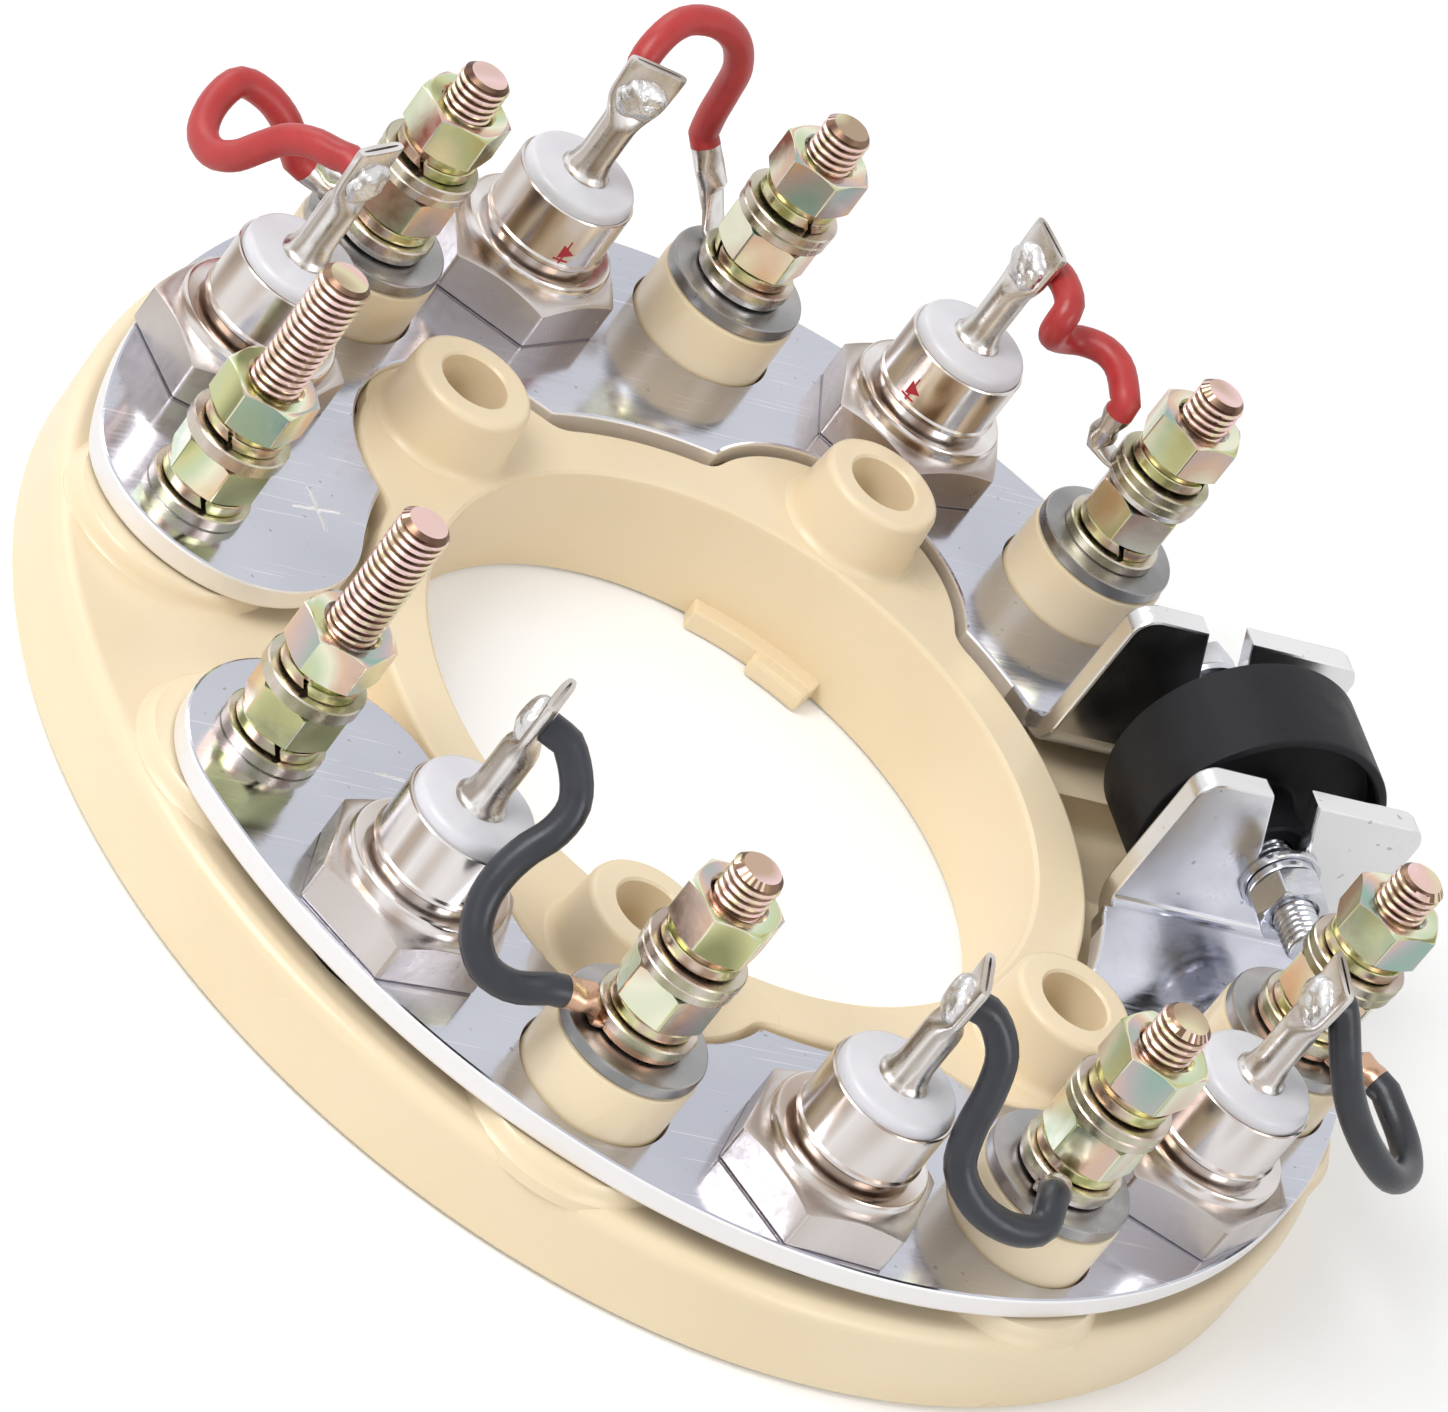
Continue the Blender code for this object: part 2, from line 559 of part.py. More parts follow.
def flap_section():
    """Section across the bend in the YZ plane, for the positive side."""
    inside = FLAP_FACE - PLATE_THICKNESS
    top = PLATE_TOP + FLAP_HEIGHT
    centre_y, centre_z = FLAP_FACE + BEND_RADIUS, PLATE_TOP + BEND_RADIUS
    leg = centre_y + 3.0 * MM
    outline = [(leg, PLATE_TOP)]
    outline += arc(centre_y, centre_z, BEND_RADIUS, 270.0, 180.0, 45.0)
    outline += [(FLAP_FACE, top), (inside, top)]
    outline += arc(centre_y, centre_z, BEND_RADIUS + PLATE_THICKNESS, 180.0, 270.0, 22.5)
    outline += [(leg, PLATE_BOTTOM)]
    return cleaned(outline)


def flap_blank():
    section = flap_section()
    return loft("flap", [[(FLAP_INNER_X, y, z) for y, z in section],
                         [(FLAP_OUTER_X, y, z) for y, z in section]])


def flap_corner(x, side):
    """Cutter that rounds one upper corner of the flap; side is 1 at the outer end."""
    top = PLATE_TOP + FLAP_HEIGHT
    r = FLAP_CORNER
    cx, cz = x - side * r, top - r
    start, end = (0.0, 90.0) if side > 0 else (180.0, 90.0)
    outline = arc(cx, cz, r, start, end, 22.5)
    outline += [(cx, top + 1.0 * MM), (x + side * 1.0 * MM, top + 1.0 * MM), (x + side * 1.0 * MM, cz)]
    low, high = FLAP_INSIDE - 1.0 * MM, FLAP_FACE + 1.0 * MM
    return loft("corner", [[(px, low, pz) for px, pz in outline],
                           [(px, high, pz) for px, pz in outline]])


def flap_slot():
    """Open slot, round at the bolt and leaning towards the hub at the top."""
    half = SLOT_WIDTH / 2
    length = PLATE_TOP + FLAP_HEIGHT - VARISTOR_Z + 4.0 * MM
    outline = arc(0.0, 0.0, half, 180.0, 360.0, 22.5) + [(half, length), (-half, length)]
    lean = radians(SLOT_LEAN)
    points = [(VARISTOR_X + x * cos(lean) - z * sin(lean), VARISTOR_Z + x * sin(lean) + z * cos(lean))
              for x, z in outline]
    low, high = FLAP_INSIDE - 1.0 * MM, FLAP_FACE + 1.0 * MM
    return loft("slot", [[(px, low, pz) for px, pz in points], [(px, high, pz) for px, pz in points]])


def polarity_mark(positive):
    """Shallow stamped strokes on the plate: a plus, or a minus on the other plate."""
    cx, cy = polar(DC_CIRCLE * 0.79, PLATE_END_ANGLE - 3.0)
    depth = 0.35 * MM
    strokes = [45.0, 135.0] if positive else [15.0]
    cutters = []
    for angle in strokes:
        long, short = 2.6 * MM, 0.35 * MM
        outline = [(-long, -short), (long, -short), (long, short), (-long, short)]
        place = Matrix.Translation((cx, cy, 0.0)) @ Matrix.Rotation(radians(angle), 4, "Z")
        cutters.append(prism("mark", outline, PLATE_TOP - depth, PLATE_TOP + 1.0 * MM, place))
    return cutters


def heat_sink_plate(name, positive):
    plate = prism(name, plate_outline(), PLATE_BOTTOM, PLATE_TOP)
    combine(plate, [flap_blank()], "UNION")
    low, high = PLATE_BOTTOM - 1.0 * MM, PLATE_TOP + 1.0 * MM
    cuts = [flap_corner(FLAP_INNER_X, -1), flap_corner(FLAP_OUTER_X, 1), flap_slot()]
    for number, x, y in ac_places()[:3]:
        cuts.append(cylinder("pillar_hole", x, y, PILLAR_RADIUS + PILLAR_CLEARANCE, low, high))
    for number, x, y in diode_places()[:3]:
        cuts.append(cylinder("diode_hole", x, y, DIODE_STUD_RADIUS + THREAD_CLEARANCE, low, high,
                             STUD_SIDES))
    sign, x, y = dc_places()[0]
    cuts.append(cylinder("stud_hole", x, y, STUD_HOLE_RADIUS, low, high, STUD_SIDES))
    cuts += polarity_mark(positive)
    combine(plate, cuts, "DIFFERENCE")
    tidy(plate)
    if not positive:
        mirrored = bmesh.new()
        mirrored.from_mesh(plate.data)
        bmesh.ops.transform(mirrored, matrix=Matrix.Diagonal((1.0, -1.0, 1.0, 1.0)),
                            verts=mirrored.verts)
        bmesh.ops.reverse_faces(mirrored, faces=mirrored.faces)
        mirrored.to_mesh(plate.data)
        mirrored.free()
    finish(plate, POLISHED_ALUMINIUM)
    shade(plate)
    return plate


# Studs, nuts and washers

def ac_stud(number, x, y):
    tip = 0.8 * MM
    root_low = PILLAR_HEIGHT - ROOT_DEPTH
    rings = [circle_ring(ROOT_RADIUS - 0.4 * MM, root_low, STUD_SIDES),
             circle_ring(ROOT_RADIUS, root_low + 0.4 * MM, STUD_SIDES),
             circle_ring(ROOT_RADIUS, CONTACT_BOTTOM + 0.1 * MM, STUD_SIDES)]
    root = loft("root", rings)
    disc = cylinder("disc", 0.0, 0.0, CONTACT_RADIUS, CONTACT_BOTTOM, CONTACT_TOP)
    shank = loft("shank", [circle_ring(STUD_RADIUS, CONTACT_BOTTOM + 0.5 * MM, STUD_SIDES),
                           circle_ring(STUD_RADIUS, STUD_TOP - tip, STUD_SIDES),
                           circle_ring(STUD_RADIUS - tip, STUD_TOP, STUD_SIDES)])
    stud = combine(disc, [root, shank], "UNION")
    stud.name = "ac_stud_%d" % number
    stud.data.transform(Matrix.Translation((x, y, 0.0)))
    finish(stud, YELLOW_ZINC)
    shade(stud)
    return stud


def dc_stud(sign, x, y):
    tip = 0.8 * MM
    top = HEAD_POCKET_DEPTH - SEAT_GAP
    stud = loft("dc_stud_" + sign, [hex_ring(HEAD_ACROSS_FLATS, top - HEAD_HEIGHT, STUD_SIDES),
                                    hex_ring(HEAD_ACROSS_FLATS, top, STUD_SIDES),
                                    circle_ring(STUD_RADIUS, top, STUD_SIDES),
                                    circle_ring(STUD_RADIUS, STUD_TOP - tip, STUD_SIDES),
                                    circle_ring(STUD_RADIUS - tip, STUD_TOP, STUD_SIDES)],
                Matrix.Translation((x, y, 0.0)))
    finish(stud, YELLOW_ZINC)
    shade(stud)
    return stud


def nut_stack(name, place, bore, washer_radius, washer, spring_radius, spring, across_flats,
              nut_height, look, turn=0.0):
    """Flat washer, spring washer and nut as the tightened set that sits on a stud."""
    sides = STUD_SIDES
    chamfer = across_flats * 0.06
    z_nut = washer + spring
    z_top = z_nut + nut_height
    rings = [circle_ring(bore, 0.0, sides, turn), circle_ring(washer_radius, 0.0, sides, turn),
             circle_ring(washer_radius, washer, sides, turn),
             circle_ring(spring_radius, washer, sides, turn),
             circle_ring(spring_radius * 0.98, z_nut, sides, turn),
             hex_ring(across_flats, z_nut, sides, turn),
             hex_ring(across_flats, z_top, sides, turn, across_flats / 2, chamfer),
             circle_ring(bore, z_top, sides, turn)]
    stack = tube_loft(name, rings, place)
    finish(stack, look)
    shade(stack, 25.0)
    return stack


def stud_hardware(name, x, y, z, washer, spring, turn):
    return nut_stack(name, Matrix.Translation((x, y, z)), BORE_OF_HARDWARE, WASHER_RADIUS, washer,
                     SPRING_RADIUS, spring, NUT_ACROSS_FLATS, NUT_HEIGHT, YELLOW_ZINC, radians(turn))


def ac_terminal(number, x, y):
    ac_stud(number, x, y)
    lug_room = LUG_THICKNESS + SEAT_GAP
    lower = CONTACT_TOP + SEAT_GAP + (0.0 if number == LEAD_ABOVE_NUT else lug_room)
    upper = CONTACT_TOP + SEAT_GAP + lug_room + LOWER_STACK + SEAT_GAP
    stud_hardware("ac_lower_nut_%d" % number, x, y, lower, LOWER_WASHER, LOWER_SPRING, 17.0 * number)
    stud_hardware("ac_upper_nut_%d" % number, x, y, upper, AC_UPPER_WASHER, AC_UPPER_SPRING,
                  41.0 * number)
    ring_lug(number)


def dc_terminal(sign, x, y):
    dc_stud(sign, x, y)
    lower = PLATE_TOP + SEAT_GAP
    upper = lower + LOWER_STACK + SEAT_GAP
    stud_hardware("dc_lower_nut_" + sign, x, y, lower, LOWER_WASHER, LOWER_SPRING, 12.0)
    stud_hardware("dc_upper_nut_" + sign, x, y, upper, DC_UPPER_WASHER, DC_UPPER_SPRING, 35.0)


# Diodes

def diode_body(number, x, y):
    """Hexagon base, stepped collar and can in one piece, with the stud and its nut below."""
    sides = SMALL_SIDES
    hex_top = DIODE_SEAT + HEX_HEIGHT
    collar_top = hex_top + COLLAR_HEIGHT
    groove_top = collar_top + GROOVE_HEIGHT
    nut_top = PLATE_BOTTOM - SEAT_GAP
    nut_low = nut_top - DIODE_NUT_HEIGHT
    lip = CAN_RADIUS - CAN_WALL
    floor = CAN_TOP - SEAL_DEPTH
    rings = [circle_ring(DIODE_STUD_RADIUS, DIODE_SEAT - DIODE_STUD_LENGTH, sides),
             circle_ring(DIODE_STUD_RADIUS, nut_low, sides),
             hex_ring(DIODE_NUT_ACROSS_FLATS, nut_low, sides),
             hex_ring(DIODE_NUT_ACROSS_FLATS, nut_top, sides),
             circle_ring(DIODE_STUD_RADIUS, nut_top, sides),
             circle_ring(DIODE_STUD_RADIUS, DIODE_SEAT, sides),
             hex_ring(HEX_ACROSS_FLATS, DIODE_SEAT, sides),
             hex_ring(HEX_ACROSS_FLATS, hex_top, sides, 0.0, HEX_ACROSS_FLATS / 2, HEX_CHAMFER),
             circle_ring(COLLAR_RADIUS, hex_top, sides),
             circle_ring(COLLAR_RADIUS - 0.5 * MM, collar_top, sides),
             circle_ring(GROOVE_RADIUS, collar_top, sides),
             circle_ring(GROOVE_RADIUS, groove_top, sides),
             circle_ring(CAN_RADIUS, groove_top, sides),
             circle_ring(CAN_RADIUS, CAN_TOP, sides),
             circle_ring(lip, CAN_TOP, sides),
             circle_ring(lip, floor, sides)]
    turn = Matrix.Rotation(radians(DIODE_TURNS[number - 1]), 4, "Z")
    body = loft("diode_%d_body" % number, rings, Matrix.Translation((x, y, 0.0)) @ turn)
    finish(body, WARM_NICKEL)
    shade(body, 28.0)
    return body


def diode_insulator(number, x, y):
    radius = CAN_RADIUS - CAN_WALL - SEAT_GAP
    edge = 0.6 * MM
    rings = [circle_ring(radius, INSULATOR_BOTTOM, SMALL_SIDES),
             circle_ring(radius, INSULATOR_TOP - edge, SMALL_SIDES),
             circle_ring(radius - edge, INSULATOR_TOP, SMALL_SIDES)]
    insulator = loft("diode_%d_insulator" % number, rings, Matrix.Translation((x, y, 0.0)))
    finish(insulator, WHITE_CERAMIC)
    shade(insulator)
    return insulator


def oval_ring(half_width, half_thickness, z, sides):
    """Superellipse that runs from a round tube to a flattened tab."""
    ring = []
    for i in range(sides):
        angle = 2 * pi * i / sides
        ring.append((half_thickness * cos(angle), half_width * sin(angle), z))
    return ring


def diode_terminal(number, x, y):
    """Flared tube brazed to the insulator, flattened at the top, with its solder joint."""
    sides = STUD_SIDES
    z = TERMINAL_BOTTOM
    rings = [circle_ring(TUBE_FLARE_RADIUS, z, sides),
             circle_ring(TUBE_FLARE_RADIUS, z + 0.5 * MM, sides),
             circle_ring(TUBE_RADIUS * 1.1, z + 1.5 * MM, sides),
             circle_ring(TUBE_RADIUS, z + 3.0 * MM, sides),
             circle_ring(TUBE_RADIUS, z + TUBE_HEIGHT, sides),
             oval_ring(TAB_WIDTH * 0.44, TAB_THICKNESS * 0.62, z + TUBE_HEIGHT + 2.6 * MM, sides),
             oval_ring(TAB_WIDTH / 2, TAB_THICKNESS / 2, z + TAB_TOP, sides)]
    facing = TAB_FACINGS[number - 1]
    place = Matrix.Translation((x, y, 0.0)) @ Matrix.Rotation(radians(facing), 4, "Z")
    terminal = loft("diode_%d_terminal" % number, rings, place)
    height = z + SOLDER_HEIGHT
    turns = [2 * pi * i / 8 for i in range(8)]
    dome = []
    for share, depth in ((1.0, -0.2 * TAB_THICKNESS), (1.0, TAB_THICKNESS / 2 + SOLDER_SWELL * 0.5),
                         (0.6, TAB_THICKNESS / 2 + SOLDER_SWELL)):
        radius = SOLDER_RADIUS * share
        dome.append([(-depth, radius * cos(a), height + radius * sin(a)) for a in turns])
    combine(terminal, [loft("solder", dome, place)], "UNION")
    finish(terminal, TINNED_COPPER)
    shade(terminal, 40.0)
    return terminal


# Leads and lugs

def smooth_route(points, step):
    """Evenly spaced points on a centripetal curve through the route's points."""
    ends = [points[0] * 2 - points[1], *points, points[-1] * 2 - points[-2]]
    fine = []
    for p0, p1, p2, p3 in zip(ends, ends[1:], ends[2:], ends[3:]):
        t1 = (p1 - p0).length ** 0.5
        t2 = t1 + (p2 - p1).length ** 0.5
        t3 = t2 + (p3 - p2).length ** 0.5
        for k in range(12):
            t = t1 + (t2 - t1) * k / 12
            a1 = p0.lerp(p1, t / t1)
            a2 = p1.lerp(p2, (t - t1) / (t2 - t1))
            a3 = p2.lerp(p3, (t - t2) / (t3 - t2))
            b1 = a1.lerp(a2, t / t2)
            b2 = a2.lerp(a3, (t - t1) / (t3 - t1))
            fine.append(b1.lerp(b2, (t - t1) / (t2 - t1)))
    fine.append(points[-1])
    lengths = [0.0]
    for a, b in zip(fine, fine[1:]):
        lengths.append(lengths[-1] + (b - a).length)
    count = max(4, round(lengths[-1] / step))
    even, k = [], 0
    for i in range(count + 1):
        target = lengths[-1] * i / count
        while k < len(lengths) - 2 and lengths[k + 1] < target:
            k += 1
        even.append(fine[k].lerp(fine[k + 1], (target - lengths[k]) / (lengths[k + 1] - lengths[k])))
    return even


def lead_start(number, x, y):
    """Square end of the lead against its tab, and a point straight out from there."""
    facing = radians(TAB_FACINGS[number - 1])
    away = Vector((cos(facing), sin(facing), 0.0))
    middle = Vector((x, y, TERMINAL_BOTTOM + SOLDER_HEIGHT))
    near = TAB_THICKNESS * 0.62 + SEAT_GAP
    return [middle + away * near, middle + away * (near + LEAD_RADIUS * 0.7)]


def lug_centre(number):
    """Underside of a lug's ring on its stud, below or above the lower nut."""
    x, y = ac_places()[number - 1][1:]
    level = CONTACT_TOP + SEAT_GAP
    if number == LEAD_ABOVE_NUT:
        level += LOWER_STACK + SEAT_GAP
    return Vector((x, y, level))


def lead(number, x, y):
    """Insulated lead from the back of the diode's tab to the mouth of its lug."""
    centre = lug_centre(number)
    route = [centre + Vector(point) * MM for point in ROUTES[number]]
    mouth = route.pop()
    axis = (mouth - centre - Vector(BARREL_ROOTS[number]) * MM).normalized()
    far_end = mouth + axis * SEAT_GAP
    far_straight = far_end + axis * LEAD_RADIUS * 0.7
    if (route[-1] - far_straight).length < LEAD_STEP * 0.8:
        route.pop()
    near_end, near_straight = lead_start(number, x, y)
    middle = smooth_route([near_straight, *route, far_straight], LEAD_STEP)
    points = [near_end, *middle, far_end]
    curve = bpy.data.curves.new("lead_%d" % number, "CURVE")
    curve.dimensions = "3D"
    curve.bevel_depth = LEAD_RADIUS
    curve.bevel_resolution = 2
    curve.use_fill_caps = True
    spline = curve.splines.new("POLY")
    spline.points.add(len(points) - 1)
    for place, point in zip(spline.points, points):
        place.co = (*point, 1.0)
    cable = bpy.data.objects.new("lead_%d" % number, curve)
    bpy.context.scene.collection.objects.link(cable)
    finish(cable, RED_INSULATION if number <= 3 else BLACK_INSULATION)
    return cable


def rod_between(name, start, end, radius, sides):
    along = end - start
    place = Matrix.Translation(start) @ along.to_track_quat("Z", "Y").to_matrix().to_4x4()
    return loft(name, [circle_ring(radius, 0.0, sides), circle_ring(radius, along.length, sides)],
                place)


def ring_lug(number):
    """Stamped ring, a tongue and the crimped barrel that grips the lead."""
    centre = lug_centre(number)
    x, y, z = centre
    root = centre + Vector(BARREL_ROOTS[number]) * MM
    mouth = centre + Vector(ROUTES[number][-1]) * MM
    heading = atan2(root.y - y, root.x - x)
    place = Matrix.Translation((x, y, 0.0)) @ Matrix.Rotation(heading, 4, "Z")
    half = LUG_TONGUE_WIDTH / 2
    neck = degrees(asin(half / LUG_RADIUS))
    outline = arc(0.0, 0.0, LUG_RADIUS, neck, 360.0 - neck, 30.0)
    outline += [(LUG_TONGUE_REACH, -half), (LUG_TONGUE_REACH, half)]
    lug = prism("lead_%d_lug" % number, outline, z, z + LUG_THICKNESS, place)
    tongue_end = place @ Vector((LUG_TONGUE_REACH - 0.8 * MM, 0.0, z + LUG_THICKNESS / 2))
    strip = rod_between("strip", tongue_end, root + (mouth - root).normalized() * 0.8 * MM,
                        LUG_THICKNESS / 2, 5)
    barrel = rod_between("barrel", root, mouth, LUG_BARREL_RADIUS, 8)
    combine(lug, [strip, barrel], "UNION")
    combine(lug, [cylinder("bore", x, y, BORE_OF_HARDWARE, z - 1.0 * MM,
                           z + LUG_THICKNESS + 1.0 * MM, STUD_SIDES)], "DIFFERENCE")
    finish(lug, TINNED_COPPER)
    shade(lug)
    return lug


# Varistor

def along_y(y):
    """Turns a lathe axis from Z to Y and carries it to the varistor's axis."""
    return Matrix.Translation((VARISTOR_X, y, VARISTOR_Z)) @ Matrix.Rotation(-pi / 2, 4, "X")


def varistor():
    """Black cup moulded round a metal sleeve, dished on both faces."""
    half = VARISTOR_WIDTH / 2
    web = half - VARISTOR_DISH
    hub_low = -FLAP_INSIDE + SEAT_GAP - VARISTOR_Y
    hub_high = FLAP_INSIDE - SEAT_GAP - VARISTOR_Y
    inner = VARISTOR_RADIUS - VARISTOR_RIM
    bore = BOLT_RADIUS + THREAD_CLEARANCE
    profile = [(bore, hub_low), (VARISTOR_HUB_RADIUS, hub_low), (VARISTOR_HUB_RADIUS, -web),
               (inner, -web), (inner, -half), (VARISTOR_RADIUS, -half), (VARISTOR_RADIUS, half),
               (inner, half), (inner, web), (VARISTOR_HUB_RADIUS, web),
               (VARISTOR_HUB_RADIUS, hub_high), (bore, hub_high)]
    disc = tube_loft("varistor", [circle_ring(r, z, DISC_SIDES) for r, z in profile],
                     along_y(VARISTOR_Y))
    finish(disc, BLACK_EPOXY)
    shade(disc)
    return disc


def varistor_bolt():
    head = 3.5 * MM
    seat = FLAP_FACE + SEAT_GAP
    tail = FLAP_FACE + SEAT_GAP + BOLT_WASHER_THICKNESS + BOLT_NUT_HEIGHT + BOLT_TAIL
    rings = [circle_ring(BOLT_RADIUS - 0.6 * MM, -tail, STUD_SIDES),
             circle_ring(BOLT_RADIUS, -tail + 0.6 * MM, STUD_SIDES),
             circle_ring(BOLT_RADIUS, seat, STUD_SIDES),
             circle_ring(BOLT_WASHER_RADIUS, seat, STUD_SIDES),
             circle_ring(BOLT_WASHER_RADIUS, seat + 1.0 * MM, STUD_SIDES),
             hex_ring(BOLT_NUT_ACROSS_FLATS, seat + 1.0 * MM, STUD_SIDES),
             hex_ring(BOLT_NUT_ACROSS_FLATS, seat + 1.0 * MM + head, STUD_SIDES)]
    bolt = loft("varistor_bolt", rings, along_y(0.0))
    finish(bolt, WHITE_ZINC)
    shade(bolt)
    return bolt


def varistor_nut():
    seat = -FLAP_FACE - SEAT_GAP
    place = (Matrix.Translation((VARISTOR_X, seat, VARISTOR_Z)) @ Matrix.Rotation(pi / 2, 4, "X"))
    return nut_stack("varistor_nut", place, BOLT_RADIUS + THREAD_CLEARANCE, BOLT_WASHER_RADIUS,
                     BOLT_WASHER_THICKNESS * 0.45, BOLT_WASHER_RADIUS * 0.88,
                     BOLT_WASHER_THICKNESS * 0.55, BOLT_NUT_ACROSS_FLATS, BOLT_NUT_HEIGHT,
                     WHITE_ZINC, radians(15.0))


def build():
    clear_scene()
    base_ring()
    heat_sink_plate("positive_plate", True)
    heat_sink_plate("negative_plate", False)
    for number, x, y in diode_places():
        diode_body(number, x, y)
        diode_insulator(number, x, y)
        diode_terminal(number, x, y)
        lead(number, x, y)
    for number, x, y in ac_places():
        ac_terminal(number, x, y)
    for sign, x, y in dc_places():
        dc_terminal(sign, x, y)
    varistor()
    varistor_bolt()
    varistor_nut()


build()
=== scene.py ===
# Rotating three-phase rectifier ring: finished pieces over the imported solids.
import bpy
from math import acos, asin, atan2, cos, degrees, hypot, pi, radians, sin, sqrt, tan
from mathutils import Matrix, Vector


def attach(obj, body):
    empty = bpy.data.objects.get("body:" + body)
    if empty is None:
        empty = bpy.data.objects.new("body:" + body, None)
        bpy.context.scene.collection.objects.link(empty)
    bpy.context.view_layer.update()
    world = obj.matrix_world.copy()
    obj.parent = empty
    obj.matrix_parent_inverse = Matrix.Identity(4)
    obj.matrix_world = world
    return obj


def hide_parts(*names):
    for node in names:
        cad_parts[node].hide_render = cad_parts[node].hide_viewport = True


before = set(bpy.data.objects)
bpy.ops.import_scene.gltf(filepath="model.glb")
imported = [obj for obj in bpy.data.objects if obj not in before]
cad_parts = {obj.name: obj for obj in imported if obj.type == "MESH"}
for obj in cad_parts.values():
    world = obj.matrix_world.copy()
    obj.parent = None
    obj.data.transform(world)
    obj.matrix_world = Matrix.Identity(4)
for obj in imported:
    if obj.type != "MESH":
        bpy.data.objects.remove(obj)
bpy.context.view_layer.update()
mm = 0.001


# picking, placing and cutting, as done by hand

def letGo():
    if bpy.context.mode != "OBJECT":
        bpy.ops.object.mode_set(mode="OBJECT")
    bpy.ops.object.select_all(action="DESELECT")


def pick(*pieces):
    letGo()
    for piece in pieces:
        piece.select_set(True)
    bpy.context.view_layer.objects.active = pieces[0]


def edit(piece):
    pick(piece)
    bpy.ops.object.mode_set(mode="EDIT")
    bpy.ops.mesh.select_all(action="SELECT")


def settle(piece, angle=35):
    # merge, turn the faces outwards and shade by angle
    edit(piece)
    bpy.ops.mesh.remove_doubles(threshold=0.000002)
    bpy.ops.mesh.normals_make_consistent(inside=False)
    bpy.ops.object.mode_set(mode="OBJECT")
    bpy.ops.object.shade_smooth_by_angle(angle=radians(angle))
    return piece


def bake(piece):
    pick(piece)
    bpy.ops.object.transform_apply(location=True, rotation=True, scale=True)
    return piece


def drawn(name, steps, sides=48, ring=False, turn=0.0):
    # a circle pulled up through (x radius, y radius, height) steps in mm
    letGo()
    x0, y0, z0 = steps[0]
    bpy.ops.mesh.primitive_circle_add(vertices=sides, radius=mm, location=(0, 0, z0 * mm),
                                      rotation=(0, 0, turn), fill_type="NOTHING" if ring else "NGON")
    piece = bpy.context.object
    piece.name = name
    piece.scale = (x0, y0, 1)
    bake(piece)
    edit(piece)
    for x1, y1, z1 in list(steps[1:]) + ([steps[0]] if ring else []):
        bpy.ops.mesh.extrude_region_move(TRANSFORM_OT_translate={"value": (0, 0, (z1 - z0) * mm)})
        if abs(x1 - x0) > 1e-7 or abs(y1 - y0) > 1e-7:
            bpy.ops.transform.resize(value=(x1 / x0, y1 / y0, 1), center_override=(0, 0, z1 * mm))
        x0, y0, z0 = x1, y1, z1
    return settle(piece)


def turned(name, profile, sides=48, ring=False, turn=0.0):
    return drawn(name, [(r, r, z) for r, z in profile], sides, ring, turn)


def rod(name, radius, low, high, sides=48, at=(0, 0), turn=0.0):
    return moved(turned(name, [(radius, low), (radius, high)], sides, turn=turn), at[0], at[1])


def block(name, low, high):
    # plain box between two corners, in mm
    letGo()
    bpy.ops.mesh.primitive_cube_add(size=1, location=[(a + b) / 2 * mm for a, b in zip(low, high)])
    piece = bpy.context.object
    piece.name = name
    piece.scale = [(b - a) * mm for a, b in zip(low, high)]
    return bake(piece)


def moved(piece, x=0.0, y=0.0, z=0.0, turn=0.0, tilt=(0.0, 0.0)):
    piece.rotation_euler = (tilt[0], tilt[1], turn)
    piece.location = (x * mm, y * mm, z * mm)
    return bake(piece)


def copied(master, name, x=0.0, y=0.0, z=0.0, turn=0.0):
    pick(master)
    bpy.ops.object.duplicate()
    piece = bpy.context.object
    piece.name = name
    return moved(piece, x, y, z, turn)


def joined(pieces, name=None):
    pick(*pieces)
    if len(pieces) > 1:
        bpy.ops.object.join()
    if name:
        pieces[0].name = name
    return pieces[0]


def carve(body, tools, operation="DIFFERENCE", crossing=False):
    tool = joined(tools)
    pick(body)
    cut = body.modifiers.new("carve", "BOOLEAN")
    cut.operation = operation
    cut.solver = "EXACT"
    cut.use_self = crossing
    cut.object = tool
    bpy.ops.object.modifier_apply(modifier="carve")
    bpy.data.objects.remove(tool)
    return body


def soften(piece, width, segments=2, angle=35):
    # small rounded edges all over
    pick(piece)
    edge = piece.modifiers.new("edge", "BEVEL")
    edge.width = width * mm
    edge.segments = segments
    edge.limit_method = "ANGLE"
    edge.angle_limit = radians(angle)
    edge.miter_outer = "MITER_ARC"
    edge.harden_normals = False
    bpy.ops.object.modifier_apply(modifier="edge")
    return settle(piece)


def traced(name, points):
    # one point pulled from place to place as a line, in mm
    letGo()
    bpy.ops.mesh.primitive_plane_add(size=mm, location=[c * mm for c in points[0]])
    piece = bpy.context.object
    piece.name = name
    bake(piece)
    edit(piece)
    bpy.ops.mesh.merge(type="CENTER")
    here = points[0]
    for there in points[1:]:
        bpy.ops.mesh.extrude_region_move(TRANSFORM_OT_translate={
            "value": [(b - a) * mm for a, b in zip(here, there)]})
        here = there
    return piece


